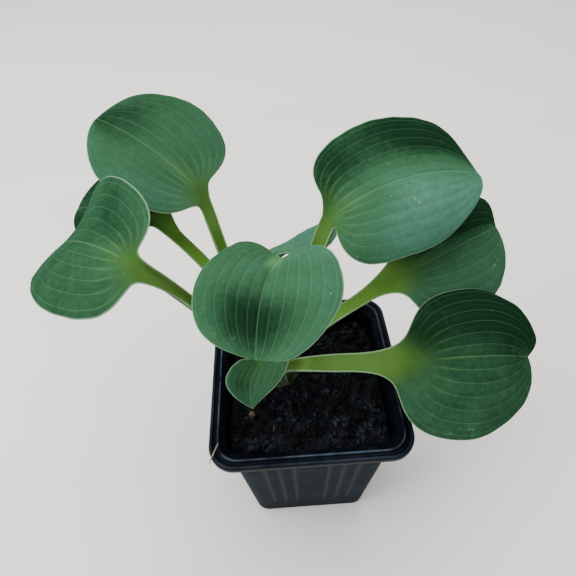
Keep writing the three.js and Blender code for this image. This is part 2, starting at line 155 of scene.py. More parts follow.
def ramp(tree, value, low, high):
    """0 below low, 1 above high, and a smooth run between."""
    settings = {"interpolation_type": "SMOOTHSTEP"}
    node = add_node(tree, "MapRange", settings, Value=value, From_Min=low, From_Max=high)
    return node.outputs["Result"]


def falling(tree, value, low, high):
    """1 below low, 0 above high."""
    return math_node(tree, "SUBTRACT", 1.0, ramp(tree, value, low, high))


print("helpers ready: from_mesh, grain_noise, times, ramp and falling")

# %% Helpers for colours and fine relief
def colour(red, green, blue):
    """Screen values from 0 to 255, turned into the linear values that shaders use."""
    def linear(c):
        c /= 255
        return c / 12.92 if c <= 0.04045 else ((c + 0.055) / 1.055) ** 2.4
    return (linear(red), linear(green), linear(blue), 1.0)


def lay_on(tree, tone, *layers):
    """Lays tones over the first one, from the lowest to the uppermost, each by its own share."""
    for share, over in layers:
        tone = add_node(tree, "Mix", {"data_type": "RGBA"}, _0=share, _6=tone, _7=over).outputs[2]
    return tone


def two_tones(tree, shader, mottle, low, high, dark, light):
    """Base colour that goes from dark to light where a noise rises from low to high."""
    tone = lay_on(tree, dark, (ramp(tree, mottle, low, high), light))
    tree.links.new(tone, shader.inputs["Base Color"])


def bump(tree, shader, height, strength, distance):
    """Relief in the shading, too fine for the mesh."""
    node = add_node(tree, "Bump", Height=height, Strength=strength, Distance=distance)
    tree.links.new(node.outputs["Normal"], shader.inputs["Normal"])


print("a middle grey of 128 on the screen is %.3f in linear light" % colour(128, 128, 128)[0])

# %% [markdown]
# ## Turning rows of points into meshes
# Nearly everything here is a skin over rows of points: loops up the wall of the pot, rings of soil,
# stations along a leaf. One helper lays quads over such a grid. Modifiers such as Skin or Solidify
# could do part of it, but they would move the surface away from the CAD's sizes.

# %% Helpers for meshes
def new_piece(name, points, faces, finish, node, smooth=True):
    """A mesh in metres from points in millimetres, riding on the body and standing for a CAD node."""
    mesh = bpy.data.meshes.new(name)
    mesh.from_pydata((np.asarray(points) * MM).tolist(), [], faces)
    mesh.update()
    tidy = bmesh.new()
    tidy.from_mesh(mesh)
    bmesh.ops.recalc_face_normals(tidy, faces=tidy.faces)
    tidy.to_mesh(mesh)
    tidy.free()
    mesh.polygons.foreach_set("use_smooth", [smooth] * len(mesh.polygons))
    mesh.materials.append(finish)
    piece = bpy.data.objects.new(name, mesh)
    bpy.context.collection.objects.link(piece)
    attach(piece, "root")
    if node:
        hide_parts(node)
    print("%s: %d faces" % (name, len(mesh.polygons)))
    return piece


def grid_faces(rows, columns, closed=False, start=0):
    """Quads over a grid of points, row by row; closed joins the last column to the first."""
    steps = columns if closed else columns - 1
    return [
        (start + i * columns + j, start + i * columns + (j + 1) % columns,
         start + (i + 1) * columns + (j + 1) % columns, start + (i + 1) * columns + j)
        for i in range(rows - 1) for j in range(steps)
    ]


def store(piece, name, values):
    """Keeps one number for each point of a mesh, for its finish to read."""
    data = piece.data.attributes.new(name, "FLOAT", "POINT").data
    data.foreach_set("value", np.asarray(values, dtype=np.float32).ravel())


print("3 by 4 points give", len(grid_faces(3, 4)), "quads, or", len(grid_faces(3, 4, True)), "if closed")

# %% [markdown]
# ## Table and light
# The plant stands on a pale table in a bright room. Spot or sun lamps would draw hard shadows, so the
# light comes from two large squares: one above and behind, which brightens the faces that look up
# and leaves those that look at the camera dark, and a bluish one from the left, like a window. A
# pale world fills what the two leave in shadow.

# %% Table top
TABLE_SIZE = 6.0
table_finish, tree, shader = new_finish("pale_table", 0.6)
cloudy = grain_noise(tree, 3.0, 3.0, 0.5, (1.0, 4.0, 1.0))
tone = lay_on(tree, colour(234, 230, 224), (cloudy, colour(243, 240, 234)))
tree.links.new(tone, shader.inputs["Base Color"])

table_mesh = bpy.data.meshes.new("table_top")
reach = TABLE_SIZE / 2
corners = [(-reach, -reach, 0), (reach, -reach, 0), (reach, reach, 0), (-reach, reach, 0)]
table_mesh.from_pydata(corners, [], [(0, 1, 2, 3)])
table_mesh.materials.append(table_finish)
table = bpy.data.objects.new("table_top", table_mesh)
bpy.context.collection.objects.link(table)
print("table: %.0f m square" % TABLE_SIZE)

# %% [markdown]
# ## Two soft lights and a bright room
# An area lamp gives off light from its whole face, so its shadows have soft edges, the softer the
# larger it is. Each lamp is turned to look at the middle of the plant. A picture of a real room
# could light the scene too, but two lamps and an even sky need no image.

# %% Lights
def soft_light(name, place, target, size, watts, tint):
    lamp = bpy.data.lights.new(name, "AREA")
    lamp.shape = "SQUARE"
    lamp.size = size
    lamp.energy = watts
    lamp.color = tint
    holder = bpy.data.objects.new(name, lamp)
    holder.location = place
    holder.rotation_euler = (Vector(target) - Vector(place)).to_track_quat("-Z", "Y").to_euler()
    bpy.context.collection.objects.link(holder)
    print("%s: %d W over %.1f m" % (name, watts, size))


PLANT_MIDDLE = (0.0, 0.0, 0.12)
WORLD_TINT, WORLD_STRENGTH = (0.9, 0.93, 1.0, 1.0), 0.62
soft_light("ceiling_light", (-0.1, 0.4, 1.6), PLANT_MIDDLE, 2.0, 46, (1.0, 0.985, 0.96))
soft_light("window_light", (-1.4, -0.2, 0.9), PLANT_MIDDLE, 0.9, 24, (0.88, 0.94, 1.0))

world = bpy.data.worlds.new("room")
world.use_nodes = True
background = world.node_tree.nodes["Background"]
background.inputs["Color"].default_value = WORLD_TINT
background.inputs["Strength"].default_value = WORLD_STRENGTH
bpy.context.scene.world = world

# %% [markdown]
# ## The pot
# A nursery pot is moulded from thin black plastic: a tapering square shell with a wide flange that is
# folded down at its outer edge and carries two raised beads with a groove between them. The section
# of that flange is drawn once and swept round a square with round corners. A Bevel modifier would
# round every edge alike, while here each corner of the section gets the radius it has on such pots.

# %% Pot sizes
POT_HEIGHT = 100.0
RIM_HALF, RIM_RADIUS = 45.0, 11.5
WALL_TOP_HALF, WALL_TOP_RADIUS = 39.0, 9.5
BASE_HALF, BASE_RADIUS = 31.8, 7.0
WALL_THICKNESS, FLOOR_THICKNESS = 1.0, 1.6
FLANGE_UNDER = 98.3


def wall_at(z):
    """Half width and corner radius of the outer wall at a height."""
    share = z / FLANGE_UNDER
    return (BASE_HALF + (WALL_TOP_HALF - BASE_HALF) * share,
            BASE_RADIUS + (WALL_TOP_RADIUS - BASE_RADIUS) * share)


def square_loop(half, radius, z, side_points=30, corner_points=10):
    """A level loop round a square with rounded corners, with points along its straight sides too."""
    loop = []
    centre = half - radius
    for quarter in range(4):
        turn = math.pi / 2 * quarter
        cos, sin = math.cos(turn), math.sin(turn)
        for k in range(side_points):
            y = centre * (2 * k / side_points - 1)
            loop.append((half * cos - y * sin, half * sin + y * cos, z))
        for k in range(corner_points):
            angle = math.pi / 2 * k / corner_points
            x, y = centre + radius * math.cos(angle), centre + radius * math.sin(angle)
            loop.append((x * cos - y * sin, x * sin + y * cos, z))
    return np.array(loop)


print("the wall tapers from %.1f to %.1f mm across" % (2 * wall_at(FLANGE_UNDER)[0], 2 * wall_at(0)[0]))

# %% [markdown]
# ## The shell, from its foot over the rim to its floor
# One closed skin makes the whole pot: up the outer wall, round the flange and down inside. The outer
# wall has shallow upright flutes, three on each side of a plain panel. They could be cut with a
# Boolean, but sinking the points of the wall by a smooth curve gives their soft edges at once.

# %% Flutes of the wall
FLUTES = {"depth": 0.4, "width": 1.5, "first": 9.0, "step": 7.5, "count": 3, "low": 14.0, "high": 88.0}
FLUTE_FADE = 6.0


def flute_depth(loop):
    """How far the shallow upright flutes sink a loop of the outer wall."""
    x, y, z = loop.T
    along = np.where(np.abs(x) > np.abs(y), y, x) * WALL_TOP_HALF / wall_at(z[0])[0]
    depth = np.zeros(len(loop))
    for k in range(FLUTES["count"]):
        offset = FLUTES["first"] + k * FLUTES["step"]
        depth += np.exp(-((np.abs(along) - offset) / (0.6 * FLUTES["width"])) ** 2)
    low_end, high_end = (z - FLUTES["low"]) / FLUTE_FADE, (FLUTES["high"] - z) / FLUTE_FADE
    return FLUTES["depth"] * depth * (np.clip(low_end, 0, 1) * np.clip(high_end, 0, 1))


print("flutes: %d on each side, %.1f mm deep" % (2 * FLUTES["count"], FLUTES["depth"]))

# %% Pot shell
def pot_loop(half, radius, z):
    return square_loop(half, radius, z, side_points=60)


def wall_loop(z):
    loop = pot_loop(*wall_at(z), z)
    inward = -loop * (1, 1, 0) / np.abs(loop[:, :2]).max(axis=1)[:, None]
    return loop + inward * flute_depth(loop)[:, None]


h = POT_HEIGHT
FOOT_SECTION = ((1.0, 0.0), (0.5, 0.3), (0.1, 0.9))
WALL_LEVELS = np.linspace(2.0, FLANGE_UNDER - 0.3, 50)

# The flange from below, over its beads and down inside: how far in from the rim's edge, and height.
FLANGE_SECTION = [
    (RIM_HALF - wall_at(FLANGE_UNDER)[0] - 0.3, FLANGE_UNDER), (1.3, FLANGE_UNDER),
    (1.1, FLANGE_UNDER - 0.2), (1.1, 96.8), (1.0, 96.6), (0.2, 96.6), (0.0, 96.8),
    (0.0, h - 0.9), (0.15, h - 0.35), (0.5, h - 0.05),
    (0.8, h), (1.2, h), (1.5, h - 0.15), (1.9, h - 0.75), (2.2, h - 0.9), (2.8, h - 0.9), (3.1, h - 0.7),
    (3.35, h - 0.15), (3.6, h), (4.0, h), (4.35, h - 0.1), (4.7, h - 0.5), (5.1, h - 1.2),
]
foot_loops = [pot_loop(BASE_HALF - inset, BASE_RADIUS, z) for inset, z in FOOT_SECTION]
wall_loops = [wall_loop(z) for z in WALL_LEVELS]
rim_loops = [pot_loop(RIM_HALF - inset, RIM_RADIUS - 0.6 * inset, z) for inset, z in FLANGE_SECTION]
inner_loops = []
for z in (h - 1.9, h - 4.0, 60.0, 20.0, FLOOR_THICKNESS + 1.0, FLOOR_THICKNESS):
    half, radius = wall_at(z)
    inset = WALL_THICKNESS + (1.0 if z == FLOOR_THICKNESS else 0.0)
    inner_loops.append(pot_loop(half - inset, radius - WALL_THICKNESS, z))
loops = foot_loops + wall_loops + rim_loops + inner_loops
around = len(loops[0])
faces = grid_faces(len(loops), around, closed=True)
print("pot shell:", len(loops), "loops of", around, "points")

# %% [markdown]
# ## Drain holes
# Eight round holes let water out through the floor. A Boolean modifier with cylinders would cut them
# too, but the floor is only a flat sheet between an outline and eight circles. So Blender's own
# triangulation fills it, once underneath and once inside, and a short tube joins the two circles
# of each hole.

# %% Drain holes
DRAIN = {"radius": 3.4, "side": 23.0, "corner": 21.0 * math.sqrt(2), "points": 40}
turns = np.linspace(0, 2 * math.pi, DRAIN["points"], endpoint=False)
circle = DRAIN["radius"] * np.column_stack([np.cos(turns), np.sin(turns)])
HOLE_COUNT = 8
circles = []
for k in range(HOLE_COUNT):
    reach, angle = DRAIN["corner" if k % 2 else "side"], 2 * math.pi * k / HOLE_COUNT
    circles.append(circle + (reach * math.cos(angle), reach * math.sin(angle)))
circles = np.vstack(circles)
print("drain holes:", HOLE_COUNT, "of", 2 * DRAIN["radius"], "mm")

# %% Floor with the holes in it
def floor_sheet(outline, outline_first, circles_first, faces_up):
    """Triangles of a flat floor with round holes, as indices of the pot's points."""
    flat = np.vstack([outline[:, :2], circles])
    starts = [(0, len(outline))]
    starts += [(len(outline) + k * len(circle), len(circle)) for k in range(HOLE_COUNT)]
    edges = [(first + k, first + (k + 1) % count) for first, count in starts for k in range(count)]
    _, _, found, sources, _, _ = delaunay_2d_cdt([Vector(p) for p in flat], edges, [], 1, 1e-6)
    index = [outline_first + k for k in range(len(outline))]
    index += [circles_first + k for k in range(len(circles))]
    sheet = []
    for face in found:
        own = [sources[k][0] for k in face]
        on_circles = {(k - len(outline)) // len(circle) for k in own}
        if len(on_circles) == 1 and on_circles.pop() >= 0:  # all three on one circle: inside the hole
            continue
        (ax, ay), (bx, by), (cx, cy) = flat[own]
        if ((bx - ax) * (cy - ay) - (by - ay) * (cx - ax) > 0) != faces_up:
            own.reverse()
        sheet.append(tuple(index[k] for k in own))
    return sheet


under = len(loops) * around
over = under + len(circles)
rings = [np.column_stack([circles, np.full(len(circles), z)]) for z in (0.0, FLOOR_THICKNESS)]
points = np.vstack(loops + rings)
faces += floor_sheet(loops[0], 0, under, faces_up=False)
faces += floor_sheet(loops[-1], under - around, over, faces_up=True)
for hole in range(HOLE_COUNT):
    for k in range(len(circle)):
        a, b = hole * len(circle) + k, hole * len(circle) + (k + 1) % len(circle)
        faces.append((under + b, under + a, over + a, over + b))
print("the pot has", len(points), "points and", len(faces), "faces")

# %% [markdown]
# ## Moulded plastic
# The pot is black plastic, glossier on its rim and dull and dusty on its walls. One finish serves for
# all of it. The crests of the two beads on the rim get a painted highlight, and the walls are lighter
# than the rim, partly from dust and partly from painted light. Each point of the mesh carries how much
# painted highlight it gets, how deep in a flute it lies and whether it is on a wall, and the nodes
# turn these into colour and roughness.

# %% Which points get the painted highlight on the beads, which lie in flutes and which are on the wall
INNER_BEAD_HIGHLIGHT, OUTER_BEAD_HIGHLIGHT, BEAD_CREST_DEPTH = 1.0, 0.3, 0.06
painted_highlight_and_shade, fluted, wall = (np.zeros(len(points)) for _ in range(3))
first = around * len(foot_loops)
for z in WALL_LEVELS:
    wall[first:first + around] = 1.0
    fluted[first:first + around] = flute_depth(pot_loop(*wall_at(z), z)) / FLUTES["depth"]
    first += around
# The crests of the beads get a painted highlight: full on the inner bead, less on the outer one.
for inset, z in FLANGE_SECTION:
    if z >= h - BEAD_CREST_DEPTH:
        painted_highlight_and_shade[first:first + around] = INNER_BEAD_HIGHLIGHT if inset > 2 else OUTER_BEAD_HIGHLIGHT
    first += around
print("points on the wall: %d, on rubbed beads: %d" % (wall.sum(), np.count_nonzero(painted_highlight_and_shade)))

# %% Moulded plastic
pot_finish, tree, shader = new_finish("moulded_plastic", 0.45, Specular_IOR_Level=0.05,
                                      Specular_Tint=(0.7, 0.85, 1.0, 1.0))
# The walls are lighter than the rim: partly dust, partly painted light.
WALL_DUST_AND_PAINTED_LIGHT = colour(46, 54, 58)
clouds = grain_noise(tree, 60.0, 5.0, 0.6)
dust = ramp(tree, clouds, 0.45, 0.75)
# A painted highlight along the crests of the rim's beads, broken up by the clouds.
painted_bead_highlight = times(tree, from_mesh(tree, "painted_highlight_and_shade"), ramp(tree, clouds, 0.3, 0.6))
on_wall = from_mesh(tree, "wall")
black = lay_on(
    tree, colour(8, 11, 16),
    (dust, colour(24, 30, 36)),
    (painted_bead_highlight, colour(66, 76, 88)),
    (times(tree, on_wall, 0.5, dust), WALL_DUST_AND_PAINTED_LIGHT),
    (times(tree, on_wall, 0.4), WALL_DUST_AND_PAINTED_LIGHT),
    (times(tree, from_mesh(tree, "fluted"), 0.35), colour(84, 92, 98)))
tree.links.new(black, shader.inputs["Base Color"])
rough = add_node(tree, "MapRange", Value=clouds, To_Min=0.28, To_Max=0.55).outputs["Result"]
rough = math_node(tree, "ADD", rough, times(tree, on_wall, 0.35))
tree.links.new(rough, shader.inputs["Roughness"])
bump(tree, shader, grain_noise(tree, 900.0, 2.0), 0.12, 0.0002)

pot = new_piece("nursery_pot", points, faces, pot_finish, "pot")
for key, values in (("painted_highlight_and_shade", painted_highlight_and_shade), ("fluted", fluted), ("wall", wall)):
    store(pot, key, values)

# %% [markdown]
# ## The soil
# Peat lies in the pot as a dark, uneven bed. A Displace modifier could roughen a flat sheet, but
# loose crumbs, the grain and the crown have to rest on it, so its height is a function of the place:
# a few long waves that the CAD has too, and many short ones in all directions.

# %% Height of the soil
SOIL_LEVEL, SOIL_RELIEF = 90.0, 1.3
SHORT_WAVES, SHORT_RELIEF = 14, 0.14


def soil_height(x, y):
    """The long waves alone."""
    waves = (np.sin(x * 0.31 + 1.3) * np.cos(y * 0.27 - 0.4)
             + 0.6 * np.sin(x * 0.83 - y * 0.61 + 2.1)
             + 0.5 * np.cos(x * 0.52 + y * 0.97 + 0.7))
    return SOIL_LEVEL + SOIL_RELIEF * 0.5 * waves


rng = np.random.default_rng(11)
CRUMBLE = [(rng.normal(0, 1.4, 2), rng.uniform(0, 6.28)) for _ in range(SHORT_WAVES)]


def soil_top(x, y):
    """The long waves with the short ones upon them."""
    total = np.zeros_like(x)
    for direction, phase in CRUMBLE:
        total += np.sin(x * direction[0] + y * direction[1] + phase)
    return soil_height(x, y) + SHORT_RELIEF * total


print("soil in the middle of the pot: %.1f mm above the table" % soil_top(0.0, 0.0))

# %% Soil surface
SOIL_CLEARANCE = 0.35
SOIL_RINGS, RIM_DROP = 46, 1.2
soil_low = FLOOR_THICKNESS + SOIL_CLEARANCE
half, radius = (size - WALL_THICKNESS - SOIL_CLEARANCE for size in wall_at(SOIL_LEVEL))
low_half, low_radius = (size - WALL_THICKNESS - SOIL_CLEARANCE for size in wall_at(soil_low))
loops = [square_loop(low_half, low_radius, soil_low)]
for ring in range(SOIL_RINGS):
    share = 1 - ring / SOIL_RINGS
    loop = square_loop(half * share, max(radius * share, 0.2), 0)
    loop[:, 2] = soil_top(loop[:, 0], loop[:, 1]) - (RIM_DROP if ring == 0 else 0.0)
    loops.append(loop)
around = len(loops[0])
points = np.vstack(loops + [[(0, 0, soil_low)], [(0, 0, float(soil_height(0, 0)))]])
faces = grid_faces(len(loops), around, closed=True)
bottom, middle = len(points) - 2, len(points) - 1
last = (len(loops) - 1) * around
faces += [(bottom, (k + 1) % around, k) for k in range(around)]
faces += [(middle, last + k, last + (k + 1) % around) for k in range(around)]

soil_finish, tree, shader = new_finish("peat", 0.9, Specular_IOR_Level=0.12)
damp = grain_noise(tree, 220.0, 8.0, 0.7)
two_tones(tree, shader, damp, 0.35, 0.7, colour(6, 7, 10), colour(26, 28, 32))
bump(tree, shader, grain_noise(tree, 700.0, 6.0, 0.8), 0.9, 0.0008)
new_piece("soil_bed", points, faces, soil_finish, "soil")

# %% [markdown]
# ## Loose crumbs
# A rough sheet alone looks like tar. Real peat is loose crumbs of all sizes, many small ones and a
# few large, that catch light on their own little faces. A particle system could scatter one crumb
# over the bed, but all would be alike, so each is an uneven ball of its own and all are joined into
# one mesh. Its faces stay flat, which keeps the crumbs sharp. None lies where the crown stands.

# %% Crumbs of peat
CROWN_AT = np.array((-13.0, 9.5, 0.0))
CRUMB_COUNT = 2400
CRUMB_LEAST, CRUMB_MORE = 0.35, 1.25
CORNERS_FREE, CROWN_FREE = 9, 13


def round_ball(subdivisions, radius):
    """Points and faces of a ball made of even triangles."""
    ball = bmesh.new()
    bmesh.ops.create_icosphere(ball, subdivisions=subdivisions, radius=radius)
    corners = np.array([v.co for v in ball.verts])
    shapes = [tuple(v.index for v in face.verts) for face in ball.faces]
    ball.free()
    return corners, shapes


def on_crown(x, y, reach):
    return math.hypot(x - CROWN_AT[0], y - CROWN_AT[1]) < reach


rng = np.random.default_rng(23)
ball_corners, ball_shapes = round_ball(1, 1.0)
points, faces = [], []
for _ in range(CRUMB_COUNT):
    x, y = rng.uniform(-half + 2, half - 2, 2)
    if abs(x) + abs(y) > 2 * half - CORNERS_FREE or on_crown(x, y, CROWN_FREE):
        continue
    size = CRUMB_LEAST + CRUMB_MORE * rng.random() ** 2.5
    centre = np.array((x, y, soil_top(x, y) + 0.25 * size))
    squash = rng.uniform(0.6, 1.2, 3)
    faces += [tuple(len(points) + k for k in shape) for shape in ball_shapes]
    points += [corner * squash * size * rng.uniform(0.75, 1.2) + centre for corner in ball_corners]

crumb_finish, tree, shader = new_finish("peat_crumb", 0.85, Specular_IOR_Level=0.15)
two_tones(tree, shader, grain_noise(tree, 120.0, 2.0), 0.45, 0.72, colour(4, 5, 8), colour(46, 50, 57))
bump(tree, shader, grain_noise(tree, 1500.0, 4.0), 0.6, 0.0004)
new_piece("peat_crumbs", points, faces, crumb_finish, None, smooth=False)

# %% [markdown]
# ## Fibres
# A few short grey threads of undecayed moss lie among the crumbs. Hair curves would need a radius
# and a finish of their own at export, so each fibre is a thin four-sided rod that bends a little and
# narrows towards its ends.

# %% Fibres in the peat
FIBRE_COUNT, FIBRE_STATIONS = 80, 6
FIBRE_LIFT = 0.45
rng = np.random.default_rng(37)
points, faces = [], []
for _ in range(FIBRE_COUNT):
    x, y = rng.uniform(-half + 4, half - 4, 2)
    if on_crown(x, y, CROWN_FREE + 1):
        continue
    heading = rng.uniform(0, 2 * math.pi)
    bend = rng.normal(0, 0.5)
    length = rng.uniform(1.2, 4.0)
    width = rng.uniform(0.08, 0.18)
    start = len(points)
    for k in range(FIBRE_STATIONS):
        s = k / (FIBRE_STATIONS - 1) - 0.5
        angle = heading + bend * s
        px, py = x + math.cos(angle) * s * length, y + math.sin(angle) * s * length
        pz = soil_top(px, py) + FIBRE_LIFT + 0.3 * math.sin(3 * s + bend)
        thin = width * (1 - (2 * s) ** 4 * 0.6)
        across = np.array((-math.sin(angle), math.cos(angle), 0)) * thin
        middle = np.array((px, py, pz))
        points += [middle + across, middle + (0, 0, thin), middle - across, middle - (0, 0, thin)]
    faces += grid_faces(FIBRE_STATIONS, 4, closed=True, start=start)
    last = len(points)
    faces += [(start, start + 1, start + 2, start + 3), (last - 1, last - 2, last - 3, last - 4)]

fibre_finish, tree, shader = new_finish("peat_fibre", 0.7)
two_tones(tree, shader, grain_noise(tree, 90.0, 2.0), 0.4, 0.65, colour(20, 21, 24), colour(74, 74, 74))
new_piece("peat_fibres", points, faces, fibre_finish, None)

# %% [markdown]
# ## The fertiliser grain
# A slow-release grain is a small resin-coated ball, never quite round. It could be sculpted, but a
# ball whose points are moved in and out by two slow waves is enough; the coat gets its mottled
# colour and its soft shine from the finish.

# %% Fertiliser grain
GRAIN_AT, GRAIN_RADIUS = (-26.5, -16.5), 1.9
grain_z = float(soil_height(*GRAIN_AT)) + GRAIN_RADIUS + SOIL_CLEARANCE
points, faces = round_ball(4, GRAIN_RADIUS)
uneven = 1 + 0.03 * np.sin(points @ (1.9, 0.7, -1.1)) + 0.02 * np.sin(points @ (-0.8, 2.6, 1.7))
points = points * uneven[:, None] * 0.97 + (*GRAIN_AT, grain_z)

grain_finish, tree, shader = new_finish("resin_coat", 0.35, Coat_Weight=0.3)
mottle = grain_noise(tree, 500.0, 4.0)
two_tones(tree, shader, mottle, 0.35, 0.65, colour(46, 34, 24), colour(88, 66, 44))
bump(tree, shader, mottle, 0.3, 0.0002)
new_piece("resin_grain", points, faces, grain_finish, "fertiliser_grain")

# %% [markdown]
# ## One formula for every leaf
# A leaf is one sheet from the foot of its petiole to the tip of its blade. Each point has a place t
# across it, from -1 to 1, and a place u along the blade. The same formula makes the CAD's coarse
# sheet, so this finer one lies right over it. Sculpting nine leaves by hand would give freer
# shapes, but a formula lets each leaf be set by a few sizes that a grower could measure.

# %% Leaf sizes
# Millimetres and degrees; a pair is the left and the right half, seen from the joint to the tip.
# joint, tip: ends of the midrib. roll: turn about it. stem: half width of the petiole at the joint.
# half: half widths of the blade. neck: how softly it widens. lobe, shoulder: how far its edge
# reaches back at the joint and forward near the tip. base, end: how slender it is there. point: how
# much its last twentieth narrows. arch, sweep: how the midrib bows up and sideways. cup, curl: how
# the halves rise and how they bend further out. wave: height, number and shift of the margin's long
# waves. foot: distance and direction from the crown's middle. lift, via, ease: how far the petiole
# stays upright, where it passes and where it turns into the midrib. veins: in each half.
LEAVES = {
    "leaf_upper_left": dict(
        joint=(-47.2, 65, 166), tip=(-91.6, 91.6, 188.4), roll=-11.4, stem=3.1, half=(28.7, 47.5),
        neck=(4.5, 1.8), lobe=(11.5, 11.2), shoulder=(-1.7, 6.9), base=(0.64, 0.62), end=(0.66, 0.49),
        point=(0.01, 0.24), arch=4.2, sweep=0.9, cup=(14.9, 0.5), curl=(-25.9, -34.2), wave=(0.5, 2, 0.1),
        foot=(8.2, 163), lift=26, via=(-46.9, 63.2, 160.3), ease=10, veins=6),
    "leaf_left": dict(
        joint=(-62.2, -3.9, 185.2), tip=(-99.9, 29.1, 164.4), roll=-9.2, stem=2.2, half=(27.7, 33),
        neck=(5.1, 2.3), lobe=(26.6, 10.7), shoulder=(10.2, 33.4), base=(0.74, 0.65), end=(0.88, 0.32),
        point=(0.11, 0.17), arch=4.1, sweep=0.3, cup=(2.9, 4.6), curl=(-26.7, 31), wave=(0.4, 2, 0.4),
        foot=(8.2, 216), lift=20, via=(-49.8, -10.4, 182.8), ease=15.6, veins=5),
    "leaf_left_behind": dict(
        joint=(-73.6, 64.3, 150.2), tip=(-113.2, 80.1, 145.5), roll=-19, stem=3.2, half=(18.1, 30.8),
        neck=(1.5, 3.4), lobe=(3, 5.7), shoulder=(-1.9, -0.3), base=(0.49, 0.41), end=(0.53, 0.44),
        point=(0.13, 0.09), arch=6.4, sweep=-1.9, cup=(14.5, 16), curl=(-20.7, -34.3), wave=(0.5, 2, 0.7),
        foot=(8.2, 119), lift=14, via=(-31.4, 43.6, 110.3), ease=14.6, veins=5),
    "leaf_centre": dict(
        joint=(-9.2, -1.9, 177), tip=(-17.7, -45.3, 180.3), roll=-6.4, stem=1.9, half=(25.5, 23.8),
        neck=(1.3, 0.8), lobe=(0, 17.9), shoulder=(-4, 0.7), base=(0.41, 0.5), end=(0.35, 0.45),
        point=(0, 0.38), arch=5.7, sweep=2.1, cup=(39.7, 29.9), curl=(-26, -60.9), wave=(0.3, 2, 0.2),
        foot=(0, 0), lift=22, via=(2.5, 15.4, 164.8), ease=12, veins=6),
    "leaf_small_front": dict(
        joint=(-21.4, -7.3, 118.6), tip=(-24.1, -25.5, 114.6), roll=2, stem=2, half=(14.6, 11),
        neck=(2.1, 1.6), lobe=(5.3, 4.3), shoulder=(-1.2, -0.8), base=(0.5, 0.58), end=(0.98, 0.75),
        point=(0.18, 0.17), arch=0.8, sweep=2.5, cup=(20.8, 19.4), curl=(-7.6, -14.4), wave=(0.3, 2, 0.5),
        foot=(8.2, 260), lift=12, via=(-18.1, 2.9, 120), ease=8, veins=4),
    "leaf_upper_right": dict(
        joint=(14.8, 24.2, 175.8), tip=(75.7, 38.6, 180.5), roll=7.5, stem=4.8, half=(34.3, 32.1),
        neck=(0.8, 1), lobe=(7.3, 12.3), shoulder=(5.8, -4), base=(0.4, 0.55), end=(0.36, 0.58),
        point=(0.1, 0), arch=6.6, sweep=-2.2, cup=(5.7, 16.6), curl=(8.3, -81.2), wave=(0.4, 2, 0.3),
        foot=(8.2, 34), lift=24, via=(-3.8, -0.1, 122.5), ease=9.5, veins=6),
    "leaf_right_behind": dict(
        joint=(49.4, 15.3, 151), tip=(93.1, 40.2, 149.5), roll=36.4, stem=2.8, half=(20.5, 28.6),
        neck=(6, 4.5), lobe=(6.1, 16.1), shoulder=(12.5, -0.7), base=(0.45, 0.56), end=(0.53, 0.44),
        point=(0.11, 0.17), arch=4.6, sweep=-0.8, cup=(17.6, 14.3), curl=(-21, -36.5), wave=(0.5, 2, 0.9),
        foot=(8.2, -10), lift=18, via=(-4.3, -5.4, 138.6), ease=17, veins=5),
    "leaf_right": dict(
        joint=(51.1, -19.5, 134), tip=(90.8, -18.3, 129.1), roll=28.5, stem=3.9, half=(30.6, 34),
        neck=(5.4, 5.9), lobe=(11.3, 22), shoulder=(27.3, 6.7), base=(0.75, 0.8), end=(0.86, 1.11),
        point=(0, 0.14), arch=6.5, sweep=-0.2, cup=(16, 7.4), curl=(-46.8, -44.7), wave=(0.4, 2, 0.6),
        foot=(8.2, -55), lift=14, via=(-19.4, -17, 133.9), ease=21.2, veins=6),
    "leaf_centre_behind": dict(
        joint=(-8.9, 37.6, 144.3), tip=(17.6, 62.3, 140.6), roll=-14.3, stem=1.8, half=(6, 13.9),
        neck=(0.6, 0.6), lobe=(8.7, 0), shoulder=(4.5, 3.6), base=(0.48, 0.48), end=(0.64, 0.69),
        point=(0.12, 0.12), arch=0.5, sweep=1, cup=(11.7, 13.1), curl=(-25.5, -31.8), wave=(0.3, 2, 0.8),
        foot=(8.2, 77), lift=18, via=(-23, 30.3, 142.5), ease=9.2, veins=4),
}
for node, leaf in LEAVES.items():
    length = math.dist(leaf["joint"], leaf["tip"])
    print("%s: blade %.0f mm long, %.0f mm wide" % (node, length, sum(leaf["half"])))
